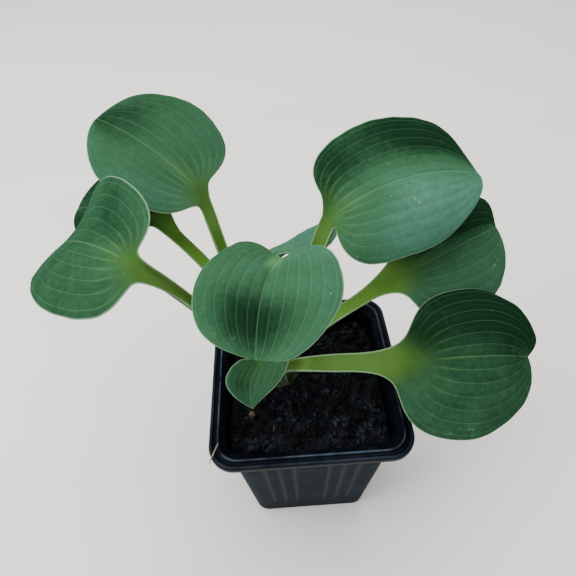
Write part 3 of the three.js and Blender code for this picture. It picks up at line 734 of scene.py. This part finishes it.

# %% [markdown]
# ## Where the wax and the painted shade lie
# A powdery wax makes a hosta leaf blue, and young tissue has little of it, so no two leaves have the
# same blue. Less wax also stands for painted shade here: the halves and spots of a blade that face
# away from the light get less of it and come out darker. The spots could be painted on each leaf by
# hand. Here they are a few numbers for each leaf, as a place on the blade and a reach.

# %% Where the wax and the painted shade lie
# wax_and_shade: how much wax at the left margin, along the midrib and at the right margin, from 0 for
# bare green to 1 for powdery blue; a half with less of it is also painted shade. young: how much less
# at the joint. painted_highlight_and_shade: a spot of painted shade with less wax, as its place t and
# u, reach across, reach along, and how much is gone. painted_midrib_highlight: how much lighter a
# painted highlight makes the tissue along the midrib, and the share of the blade it reaches. green:
# how many millimetres the petiole's colour runs into the blade. veins: how clear their lines are.
# painted_petiole_light: painted light that makes a petiole lighter. scuffed: a spot with fine pale
# scratches, as its place t and u, reach across and reach along.
PLAIN_COVER = dict(
    young=0.0, painted_highlight_and_shade=(0.0, 0.5, 0.5, 0.3, 0.0), painted_midrib_highlight=(0.1, 0.4), green=0.0, veins=0.16, painted_petiole_light=0.0,
    scuffed=(0.0, -9.0, 0.1, 0.1))
WAX_AND_SHADE = {
    "leaf_upper_left": dict(
        wax_and_shade=(0.56, 0.44, 0.5), painted_highlight_and_shade=(0.1, 1.0, 0.8, 0.4, 0.4), green=7, painted_midrib_highlight=(0.2, 0.5)),
    "leaf_left": dict(
        wax_and_shade=(0.26, 0.3, 0.3), painted_highlight_and_shade=(0.5, 0.2, 0.4, 0.3, 0.15), green=6, painted_midrib_highlight=(0.06, 0.4)),
    "leaf_left_behind": dict(wax_and_shade=(0.0, 0.1, 0.0), painted_petiole_light=0.9),
    "leaf_centre": dict(
        wax_and_shade=(0.54, 0.5, 0.42), painted_highlight_and_shade=(0.06, 0.77, 0.56, 0.22, 0.56), painted_midrib_highlight=(0.75, 0.3), veins=0.13,
        scuffed=(0.6, 0.26, 0.15, 0.05)),
    "leaf_small_front": dict(
        wax_and_shade=(0.34, 0.34, 0.3), painted_highlight_and_shade=(0.3, 0.5, 0.5, 0.3, 0.1), green=2, veins=0.12),
    "leaf_upper_right": dict(
        wax_and_shade=(0.34, 0.6, 0.72), young=0.3, painted_highlight_and_shade=(-0.7, 0.72, 0.5, 0.42, 0.4), green=6,
        painted_midrib_highlight=(0.08, 0.3), veins=0.14, scuffed=(0.38, 0.48, 0.2, 0.06)),
    "leaf_right_behind": dict(
        wax_and_shade=(0.0, 0.36, 0.5), painted_highlight_and_shade=(-0.6, 0.7, 0.5, 0.3, 0.45), green=3, painted_petiole_light=0.6,
        scuffed=(0.55, 0.75, 0.16, 0.07)),
    "leaf_right": dict(
        wax_and_shade=(0.02, 0.24, 0.26), painted_highlight_and_shade=(-0.5, 0.7, 0.6, 0.4, 0.2), green=1, painted_midrib_highlight=(0.0, 0.3),
        scuffed=(0.86, 0.42, 0.1, 0.12)),
    "leaf_centre_behind": dict(wax_and_shade=(0.7, 0.7, 0.7)),
}
WAX_AND_SHADE = {node: {**PLAIN_COVER, **cover} for node, cover in WAX_AND_SHADE.items()}
print("leaves with fine scratches:", sum(cover["scuffed"][1] > 0 for cover in WAX_AND_SHADE.values()))

# %% How waxy a place is, with painted shade as less wax
def smoothstep(x, low, high):
    s = np.clip((x - low) / (high - low), 0, 1)
    return s * s * (3 - 2 * s)


def wax_and_shade_amount(cover, t, u):
    """How waxy a place on the blade is; less wax here also stands for painted shade."""
    left, middle, right = cover["wax_and_shade"]
    side = smoothstep(np.abs(t), 0.05, 0.6)
    amount = middle + np.where(t < 0, left - middle, right - middle) * side
    spot_t, spot_u, across, along, depth = cover["painted_highlight_and_shade"]
    amount = amount - cover["young"] * (1 - smoothstep(u, 0.05, 0.45))
    return amount - depth * np.exp(-((t - spot_t) / across) ** 2 - ((u - spot_u) / along) ** 2)


for node, cover in WAX_AND_SHADE.items():
    print("%s: wax %.2f halfway along the midrib" % (node, wax_and_shade_amount(cover, 0.0, 0.5)))

# %% [markdown]
# ## The blade of a leaf
# Seen from above, a hosta blade is a heart: lobes reach back beside the petiole, and the edges run
# full and then close to a point. The two halves rise from the midrib like an open book, the tissue
# puffs up between the sunken veins, and the margin is slightly wavy. A lattice or curves could bend
# a flat shape into that. Here three frame directions, one outline, one cross-section and one relief
# give every point at once, and the CAD uses the same lines for all but the finest relief.

# %% Frame of a blade
def unit(vector):
    return vector / np.linalg.norm(vector, axis=-1, keepdims=True)


def turned(vector, axis, angle):
    """A vector turned about an axis at right angles to it."""
    return vector * math.cos(angle) + np.cross(axis, vector) * math.sin(angle)


def blade_frame(leaf):
    """Where a blade begins, how long it is, and the directions that everything on it is set out in."""
    joint = np.array(leaf["joint"], float)
    reach = np.array(leaf["tip"], float) - joint
    length = float(np.linalg.norm(reach))
    along = reach / length
    side = turned(unit(np.cross(along, (0, 0, 1))), along, math.radians(leaf["roll"]))
    upward = np.cross(side, along)
    start = unit(along + upward * 4 * leaf["arch"] / length)
    return dict(joint=joint, along=along, side=side, up=upward, start=start, length=length)


def sided(pair, t):
    """The left or the right value of a pair, for each place across the leaf."""
    return np.where(t < 0, pair[0], pair[1]).astype(float)


print("leaf_centre points along", np.round(blade_frame(LEAVES["leaf_centre"])["along"], 2))

# %% Outline of a blade
LOBE_SIZE, TIP_SHARPNESS = 2.6, 40


def spread(leaf, t, y, length):
    """Half width, backward reach and share of blade at a distance y from the joint to the tip."""
    neck, a, b = sided(leaf["neck"], t), sided(leaf["base"], t), sided(leaf["end"], t)

    def soften(d):
        return d + np.hypot(d, neck)

    u = soften(y) / soften(length)
    peak = (a / (a + b)) ** a * (b / (a + b)) ** b
    fade = smoothstep(y, -5 * neck, 0)
    blunt = (1 - np.clip(u, 0, 1) ** TIP_SHARPNESS) ** sided(leaf["point"], t)
    half = fade * sided(leaf["half"], t) * u ** a * np.maximum(1 - u, 0) ** b / peak * blunt
    back = fade * sided(leaf["lobe"], t) * LOBE_SIZE * np.sqrt(u) * np.maximum(1 - u, 0) ** 2.5
    return half, back, fade


blade_length = blade_frame(LEAVES["leaf_centre"])["length"]
widest = spread(LEAVES["leaf_centre"], 1.0, np.linspace(0, blade_length, 101), blade_length)[0].argmax()
print("leaf_centre is widest at %d%% of its length" % widest)

# %% Cross-section and relief of a blade
CUP_OPENS = 0.6  # share of the cup that is lost from joint to tip
VEIN_RELIEF, FULL_PITCH = 0.27, 4.5  # relief of veins that lie at least this far apart
MARGIN_RIPPLE, RIPPLES = 0.12, 9


def section_at(leaf, t, across, eta):
    """How far out and how far up a point lies that is so far across the sheet."""
    cup = np.radians(sided(leaf["cup"], t)) * (1 - CUP_OPENS * eta)
    turn = np.radians(sided(leaf["curl"], t)) / sided(leaf["half"], t)
    out = (np.sin(cup + turn * across) - np.sin(cup)) / turn
    lift = (np.cos(cup) - np.cos(cup + turn * across)) / turn
    return out, lift


def relief(leaf, t, u):
    """Tissue puffed up between the sunken veins, and the long waves and fine ripple of the margin."""
    fade = smoothstep(u, 0, 0.2) * np.minimum(1, (1 - u) / 0.25)
    phase = np.abs(t) * (leaf["veins"] + 0.5)
    puff = VEIN_RELIEF * min(1, sum(leaf["half"]) / 2 / (leaf["veins"] + 0.5) / FULL_PITCH) ** 1.5
    ribs = puff * np.abs(np.sin(math.pi * phase)) ** 0.8 * (1 - np.abs(t) ** 6)
    height, count, shift = leaf["wave"]
    wave = height * np.abs(t) ** 3 * np.sin(2 * math.pi * (count * u + shift) + np.where(t < 0, 1.7, 0))
    ripple = np.sin(2 * math.pi * (RIPPLES * u + 3 * shift) + np.where(t < 0, 0.6, 2.9))
    return fade * (ribs + wave + MARGIN_RIPPLE * t ** 8 * ripple)


halves = np.linspace(-1, 1, 201)
print("relief across leaf_centre: up to %.2f mm" % relief(LEAVES["leaf_centre"], halves, 0.5).max())

# %% Points of a blade
CHANNEL = 0.9
SHOULDER_SIZE = 12.2


def blade_points(leaf, blade, t, u):
    """Where the points lie that are at t across and u along."""
    length = blade["length"]
    half, back, _ = spread(leaf, t, u * length, length)
    shoulder = sided(leaf["shoulder"], t) * SHOULDER_SIZE * u ** 4 * (1 - u)
    forward = length * u + (shoulder - back) * np.abs(t) ** 1.5
    eta = forward / length
    inside = np.clip(eta, 0, 1)
    rise = 4 * leaf["arch"] * np.where(eta > 0, eta * (1 - eta), eta)
    slope = 4 * leaf["arch"] * (1 - 2 * inside) / length
    narrow = 1 - smoothstep(u, 0, 0.4)
    across = np.abs(t) * (half + leaf["stem"] * narrow)
    out, lift = section_at(leaf, t, across, inside)
    high = lift + relief(leaf, t, u) + CHANNEL * t * t * narrow
    norm = np.hypot(1, slope)
    sideways = out * np.sign(t) + leaf["sweep"] * 4 * inside * (1 - inside)
    return (blade["joint"]
            + (forward - high * slope / norm)[..., None] * blade["along"]
            + (rise + high / norm)[..., None] * blade["up"]
            + sideways[..., None] * blade["side"])


middle_leaf = LEAVES["leaf_centre"]
end = blade_points(middle_leaf, blade_frame(middle_leaf), np.zeros(1), np.ones(1))[0]
print("the formula ends at", np.round(end, 1), "and the tip is at", middle_leaf["tip"])

# %% [markdown]
# ## The petiole
# A petiole is a stalk with a channel along its top and a keel below. It leaves the crown upright
# and swings over to its blade. A curve object with a bevel could draw it, but the real one has no
# seam where the blade begins. So the petiole belongs to the same sheet: its stations follow one
# curve with five control points, and the sheet spreads into the blade as it nears the joint.

# %% Course of a petiole
FOOT_BOTTOM, FOOT_TOP = 82.0, 92.0
FOOT_HALF, FOOT_KEEL = 2.0, 2.6
FOOT_STATIONS, CROWDING = 4, 1.4  # stations lie closer together near the joint
CURVE_WEIGHTS = (1, 4, 6, 4, 1)


def stem_stations(leaf, blade, count):
    """Centres and directions along the petiole: straight out of the crown, then one smooth curve."""
    reach, angle = leaf["foot"][0], math.radians(leaf["foot"][1])
    foot = CROWN_AT + (reach * math.cos(angle), reach * math.sin(angle), FOOT_TOP)
    joint = blade["joint"]
    control = np.array([foot, (*foot[:2], FOOT_TOP + leaf["lift"]), leaf["via"],
                        joint - leaf["ease"] * blade["start"], joint])
    heading = joint - foot
    foot_side = np.cross(unit(heading * (1, 1, 0)), (0, 0, 1))

    def at(s):
        return sum(w * s ** k * (1 - s) ** (4 - k) * p
                   for k, (w, p) in enumerate(zip(CURVE_WEIGHTS, control)))

    low = np.linspace(FOOT_BOTTOM, FOOT_TOP, FOOT_STATIONS)[:-1]
    stations = [(np.array((*foot[:2], z)), 0.0) for z in low]
    stations += [(at(s), s) for s in 1 - (1 - np.arange(count) / count) ** CROWDING]
    for centre, s in stations:
        tangent = unit(at(s + 0.01) - at(s - 0.01)) if s > 0 else np.array((0.0, 0.0, 1.0))
        side = foot_side + (blade["side"] - foot_side) * s * s * (3 - 2 * s)
        side = unit(side - tangent * (side @ tangent))
        grown = min(1, 1.6 * s) ** 1.5
        half = FOOT_HALF + (leaf["stem"] - FOOT_HALF) * grown
        reach = FOOT_KEEL + (leaf["stem"] - FOOT_KEEL) * grown
        yield centre, tangent, side, np.cross(side, tangent), half, reach


print("petiole feet go from %.0f to %.0f mm above the table" % (FOOT_BOTTOM, FOOT_TOP))

# %% Points of a petiole
def stem_points(leaf, blade, station, t):
    """One row of the sheet across the petiole; near the joint it already spreads like the blade."""
    centre, _, side, upward, half, _ = station
    stretch = math.hypot(1, 4 * leaf["arch"] / blade["length"])
    y = -float(np.linalg.norm(centre - blade["joint"])) / stretch
    wing, back, fade = spread(leaf, t, y, blade["length"])
    across = np.abs(t) * (half + wing)
    out, lift = section_at(leaf, t, across, np.zeros_like(t))
    sideways = np.sign(t) * (across + (out - across) * fade)
    flare = fade[:, None]
    side = side + (blade["side"] - side) * flare
    upward = upward + (np.cross(blade["side"], blade["start"]) - upward) * flare
    return (centre + sideways[:, None] * side
            + (CHANNEL * t * t + lift * fade)[:, None] * upward
            - (stretch * back * np.abs(t) ** 1.5)[:, None] * blade["start"])

# %% [markdown]
# ## From sheet to leaf
# The rows of the petiole and those of the blade make one grid. A Solidify modifier would give it an
# even thickness, but a leaf has a keel under its petiole and thins out to its margin. So the grid
# is laid twice, a little above and a little below the middle sheet, and strips close its edges.

# %% Middle sheet of a leaf
LEAF_COLUMNS, STEM_ROWS, BLADE_ROWS = 97, 26, 72
KEEL_NARROWS = 0.6  # from joint to tip
LAST_ROW = 0.996  # just short of the tip, where both margins would meet in one point


def leaf_sheet(leaf):
    """A grid of points, with each row's place along the leaf and its keel's width."""
    blade = blade_frame(leaf)
    t = np.linspace(-1, 1, LEAF_COLUMNS)
    stations = list(stem_stations(leaf, blade, STEM_ROWS))
    rows = [stem_points(leaf, blade, station, t) for station in stations]
    middles = [row[LEAF_COLUMNS // 2] for row in rows]
    runs = [-float(np.linalg.norm(middle - blade["joint"])) / blade["length"] for middle in middles]
    shares = LAST_ROW * (0.5 - 0.5 * np.cos(np.pi * np.linspace(0, 1, BLADE_ROWS + 1)))
    rows += [blade_points(leaf, blade, t, np.full_like(t, u)) for u in shares]
    reaches = [station[-1] for station in stations] + list(leaf["stem"] * (1 - KEEL_NARROWS * shares))
    return np.array(rows), np.array(runs + list(shares)), np.array(reaches), t, blade["length"]


print("a leaf's sheet: %d rows of %d points" % leaf_sheet(LEAVES["leaf_centre"])[0].shape[:2])

# %% Both faces of a leaf
STEM_BODY, BLADE, KEEL_END = 2.0, 0.8, 1.4
MARGIN_THIN, MARGIN_REACH = 0.3, 1.2


def leaf_skin(sheet, run, reach, margin, from_middle):
    """Points and faces of a closed leaf."""
    rows, columns = sheet.shape[:2]
    normals = unit(np.cross(np.gradient(sheet, axis=1), np.gradient(sheet, axis=0)))
    keel = STEM_BODY * (1 - np.clip(run, 0, 1)[:, None]) ** KEEL_END
    keel = keel * np.maximum(0, 1 - (from_middle / reach[:, None]) ** 2) ** 0.75
    thin = MARGIN_THIN + (1 - MARGIN_THIN) * smoothstep(margin, 0, MARGIN_REACH)
    top = sheet + normals * (BLADE / 2 * thin)[..., None]
    under = sheet - normals * (BLADE / 2 * thin + keel)[..., None]
    count = rows * columns
    upper = grid_faces(rows, columns)
    faces = upper + [tuple(reversed([k + count for k in face])) for face in upper]
    rims = []
    for side in (0, columns - 1):
        rims += [(i * columns + side, (i + 1) * columns + side) for i in range(rows - 1)]
    for row in (0, rows - 1):
        rims += [(row * columns + j, row * columns + j + 1) for j in range(columns - 1)]
    faces += [(a, b, b + count, a + count) for a, b in rims]
    return np.vstack([top.reshape(-1, 3), under.reshape(-1, 3)]), faces


print("petioles are %.1f mm thick over their keel" % (STEM_BODY + BLADE))

# %% What the finish has to know of each point
# How far from the midrib the painted highlight reaches, as a share of the blade's length.
PAINTED_HIGHLIGHT_REACH = 0.1


def leaf_marks(leaf, cover, t, run, width, from_middle, length):
    """Numbers for the finish, one grid for each."""
    # A painted highlight along the midrib, fading out towards the tip.
    share, reaching = cover["painted_midrib_highlight"]
    painted_midrib_highlight = (1 - smoothstep(from_middle, 0, PAINTED_HIGHLIGHT_REACH * length)) * share
    painted_midrib_highlight = painted_midrib_highlight * (1 - smoothstep(run, 0.3 * reaching, reaching))
    spot_t, spot_u, across, along = cover["scuffed"]
    marks = {
        "vein_phase": np.abs(t) * (leaf["veins"] + 0.5),
        "vein_gap": width[:, -1:] / (2 * leaf["veins"] + 1),
        "margin": np.minimum(width, width[:, -1:] - width),
        "run": run * length,
        "off_middle": from_middle,
        "painted_midrib_highlight": painted_midrib_highlight,
        "scuffed": np.exp(-((t - spot_t) / across) ** 2 - ((run - spot_u) / along) ** 2),
        "from_foot": run * length - run[0] * length,
        "wax_and_shade": wax_and_shade_amount(cover, t, run),
        "green": cover["green"],
        "vein_show": cover["veins"],
        "painted_petiole_light": cover["painted_petiole_light"],
    }
    return {key: np.broadcast_to(values, width.shape) for key, values in marks.items()}


print("a petiole's colour runs up to %g mm into a blade" % max(cover["green"] for cover in WAX_AND_SHADE.values()))

# %% Putting a leaf together
def build_leaf(node, leaf, finish):
    """Makes one leaf and returns how many points it has."""
    sheet, run, reach, t, length = leaf_sheet(leaf)
    from_middle = np.linalg.norm(sheet - sheet[:, LEAF_COLUMNS // 2, None], axis=2)
    steps = np.linalg.norm(np.diff(sheet, axis=1), axis=2)
    width = np.concatenate([np.zeros((len(sheet), 1)), np.cumsum(steps, axis=1)], axis=1)
    marks = leaf_marks(leaf, WAX_AND_SHADE[node], t[None], run[:, None], width, from_middle, length)
    points, faces = leaf_skin(sheet, run, reach, marks["margin"], from_middle)
    piece = new_piece(node.replace("leaf", "hosta_leaf"), points, faces, finish, node)
    for key, values in marks.items():
        store(piece, key, np.concatenate([values.ravel(), values.ravel()]))
    return len(points)


print("each leaf will have", 2 * (FOOT_STATIONS + STEM_ROWS + BLADE_ROWS) * LEAF_COLUMNS, "points")

# %% [markdown]
# ## The leaf's finish
# The blade is blue-green under a powdery wax; less wax on the halves and spots that face away from the
# light is painted shade. Its veins and its margin are paler, a painted highlight runs along the midrib
# of some leaves, and towards the joint the green turns yellow and runs down the petiole, which has
# painted shade by the crown and painted light on some leaves. Painting these on an image would fix
# their sharpness. Here the mesh carries a few numbers for each point, such as the distance to the
# margin, and nodes turn them into lines and colour runs that stay sharp up close.

# %% Where a point lies on its leaf
leaf_finish, tree, shader = new_finish("waxy_leaf", 0.6, Specular_IOR_Level=0.0)
phase, gap, wax_and_shade, painted_petiole_light = (from_mesh(tree, name) for name in ("vein_phase", "vein_gap", "wax_and_shade", "painted_petiole_light"))
margin, run, off_middle = (from_mesh(tree, name) for name in ("margin", "run", "off_middle"))

nearest = math_node(tree, "PINGPONG", phase, 0.5)
to_vein = times(tree, nearest, gap)
in_blade = ramp(tree, run, -2.0, 8.0)
away = math_node(tree, "ADD", run, times(tree, off_middle, 0.42))
away = math_node(tree, "SUBTRACT", away, from_mesh(tree, "green"))
by_joint = falling(tree, away, 0.0, 15.0)
print("nodes that place a point:", len(tree.nodes))

# %% Green tissue under blue wax, with painted shade in the wax and a painted highlight along the midrib
patchy = grain_noise(tree, 45.0, 5.0, 0.6)
fine = grain_noise(tree, 420.0, 6.0, 0.65)
uneven = math_node(tree, "MULTIPLY_ADD", patchy, 0.46, -0.23)
speckle = math_node(tree, "MULTIPLY_ADD", fine, 0.32, -0.16)
# The wax amount also carries painted shade on the halves and spots that face away from the light.
cover = math_node(tree, "ADD", wax_and_shade, math_node(tree, "ADD", uneven, speckle))
# The last layer of the blade's tones is a painted highlight along the midrib.
blade_tone = lay_on(
    tree, colour(17, 42, 25),
    (ramp(tree, cover, -0.05, 0.5), colour(50, 88, 60)),
    (ramp(tree, cover, 0.4, 1.0), colour(76, 126, 108)),
    (from_mesh(tree, "painted_midrib_highlight"), colour(104, 152, 98)))
print("nodes with the blade's tones:", len(tree.nodes))

# %% From a foot darkened by painted shade to a yellow-green petiole, lighter on some leaves from painted light, and on into the blade
# Painted shade on the lowest part of each petiole, by the crown.
painted_shade_by_crown = times(tree, falling(tree, from_mesh(tree, "from_foot"), 6.0, 22.0), 0.75)
# Painted light makes the petioles of some leaves lighter and spares them the darker green near the blade.
without_painted_light = math_node(tree, "MULTIPLY_ADD", painted_petiole_light, -0.75, 0.75)
stem_tone = lay_on(
    tree, colour(62, 94, 32),
    (ramp(tree, patchy, 0.3, 0.7), colour(80, 112, 52)),
    (painted_petiole_light, colour(106, 150, 60)),
    (painted_shade_by_crown, colour(36, 52, 20)),
    (times(tree, ramp(tree, run, -22.0, 2.0), without_painted_light), colour(52, 84, 34)))
tone = lay_on(tree, stem_tone, (ramp(tree, away, -15.0, 6.0), blade_tone))
print("nodes with the petiole's tones:", len(tree.nodes))

# %% Veins, margin, scratches and specks
between = times(tree, math_node(tree, "SUBTRACT", 0.5, nearest), gap)
minor = times(tree, falling(tree, between, 0.0, 0.22), 0.25)
vein = math_node(tree, "MAXIMUM", falling(tree, to_vein, 0.02, 0.28), minor)
shown = math_node(tree, "ADD", from_mesh(tree, "vein_show"), times(tree, by_joint, 0.06))
scratched = grain_noise(tree, 620.0, 5.0, 0.7, (1.0, 0.4, 1.0))
specked = grain_noise(tree, 900.0, 2.0, 0.5, (1.0, 0.6, 1.0))
fan = times(tree, falling(tree, to_vein, 0.1, 1.5), by_joint, in_blade, 0.2)
midrib = times(tree, falling(tree, off_middle, 0.15, 0.7), in_blade, 0.12)
scratches = times(tree, ramp(tree, scratched, 0.55, 0.68), from_mesh(tree, "scuffed"), 0.35)
edge = times(tree, falling(tree, margin, 0.12, 0.7), 0.65)
specks = times(tree, ramp(tree, specked, 0.72, 0.78), 0.18)

tone = lay_on(
    tree, tone,
    (fan, colour(86, 126, 60)),
    (times(tree, vein, in_blade, shown), colour(108, 150, 108)),
    (midrib, colour(118, 160, 98)),
    (scratches, colour(164, 190, 172)),
    (edge, colour(136, 170, 134)),
    (specks, colour(160, 190, 166)))
tree.links.new(tone, shader.inputs["Base Color"])
print("nodes with lines and marks:", len(tree.nodes))

# %% How rough the leaf is
rough = add_node(tree, "MapRange", Value=fine, From_Min=0.3, From_Max=0.7, To_Min=0.46, To_Max=0.62)
tree.links.new(rough.outputs["Result"], shader.inputs["Roughness"])
pores = times(tree, grain_noise(tree, 1600.0, 3.0), 0.3)
bump(tree, shader, math_node(tree, "ADD", times(tree, fine, 0.4), pores), 0.35, 0.0003)
print("nodes in the leaf's finish:", len(tree.nodes))

# %% [markdown]
# ## Nine leaves
# Every leaf is its own piece with its own sizes and its own wax, and all of them share one finish.
# A copied leaf, turned and scaled, would be quicker, but on a real hosta no two leaves are alike.

# %% Build the nine leaves
points_made = sum(build_leaf(node, leaf, leaf_finish) for node, leaf in LEAVES.items())
print("points in all nine leaves:", points_made)

# %% [markdown]
# ## The crown
# The crown is the short stem that all the petioles rise from, a knob of dark green tissue half sunk
# in the peat. A Screw modifier would turn its profile like a pot on a wheel and leave it perfectly
# round. Here the turning is done point by point, so each level can be a little uneven.

# %% Crown
# Distance from the crown's middle and height above the table, from the underside to the top.
CROWN_PROFILE = np.array([
    (0, 74), (7, 74.6), (11.5, 79), (12.4, 85.5), (12.1, 89), (11, 90.9), (5.5, 91.9), (0, 92.2)])
CROWN_SIDES, CROWN_STEPS = 72, 60
steps = np.concatenate([[0], np.cumsum(np.hypot(*np.diff(CROWN_PROFILE, axis=0).T))])
walk = np.linspace(0, steps[-1], CROWN_STEPS)[1:-1]
radii, heights = (np.interp(walk, steps, CROWN_PROFILE[:, k]) for k in (0, 1))
angles = np.linspace(0, 2 * math.pi, CROWN_SIDES, endpoint=False)
points = [(CROWN_AT[0], CROWN_AT[1], CROWN_PROFILE[0, 1])]
for radius, z in zip(radii, heights):
    lobes = 0.98 - 0.015 * np.sin(9 * angles + 0.4 * z) - 0.01 * np.sin(23 * angles - z)
    points += [(CROWN_AT[0] + radius * k * math.cos(a), CROWN_AT[1] + radius * k * math.sin(a), z)
               for k, a in zip(lobes, angles)]
points.append((CROWN_AT[0], CROWN_AT[1], CROWN_PROFILE[-1, 1]))
faces = grid_faces(len(radii), CROWN_SIDES, closed=True, start=1)
top = 1 + (len(radii) - 1) * CROWN_SIDES
faces += [(0, 1 + (k + 1) % CROWN_SIDES, 1 + k) for k in range(CROWN_SIDES)]
faces += [(len(points) - 1, top + k, top + (k + 1) % CROWN_SIDES) for k in range(CROWN_SIDES)]

crown_finish, tree, shader = new_finish("crown_skin", 0.6)
streaks = grain_noise(tree, 260.0, 5.0, 0.6, (1.0, 1.0, 0.3))
two_tones(tree, shader, streaks, 0.4, 0.65, colour(22, 32, 14), colour(44, 58, 26))
bump(tree, shader, streaks, 0.5, 0.0004)
new_piece("crown_knob", points, faces, crown_finish, "crown")

# %% [markdown]
# ## A straw on the rim
# A dry bit of straw lies over the corner of the rim. A curve with a round bevel would do, but a
# straw is a little flat and uneven and tapers to its ends, so its rings are set out one by one
# along a slightly bent line that rests on the raised bead and hangs over the edge.

# %% Straw
STRAW_LINE = np.array([(-40.6, -33.0, 100.5), (-42.4, -37.5, 100.55), (-44.2, -41.5, 100.1)])
STRAW_RADIUS, STRAW_SIDES, STRAW_RINGS = 0.34, 10, 25
STRAW_FLATNESS = 0.7
points = []
for s in np.linspace(0, 1, STRAW_RINGS):
    a, b, c = STRAW_LINE
    middle = (1 - s) ** 2 * a + 2 * s * (1 - s) * b + s * s * c
    heading = unit(2 * (1 - s) * (b - a) + 2 * s * (c - b))
    flat = unit(np.cross(heading, (0, 0, 1)))
    high = np.cross(flat, heading)
    size = STRAW_RADIUS * (1 - 0.3 * (2 * s - 1) ** 4) * (1 + 0.08 * math.sin(17 * s))
    for angle in np.linspace(0, 2 * math.pi, STRAW_SIDES, endpoint=False):
        points.append(middle + size * (math.cos(angle) * flat + STRAW_FLATNESS * math.sin(angle) * high))
faces = grid_faces(STRAW_RINGS, STRAW_SIDES, closed=True)
faces += [tuple(range(STRAW_SIDES)), tuple(reversed(range(len(points) - STRAW_SIDES, len(points))))]

straw_finish, tree, shader = new_finish("dry_straw", 0.6)
streaks = grain_noise(tree, 800.0, 3.0)
two_tones(tree, shader, streaks, 0.35, 0.7, colour(112, 98, 80), colour(164, 150, 128))
new_piece("straw", points, faces, straw_finish, None)
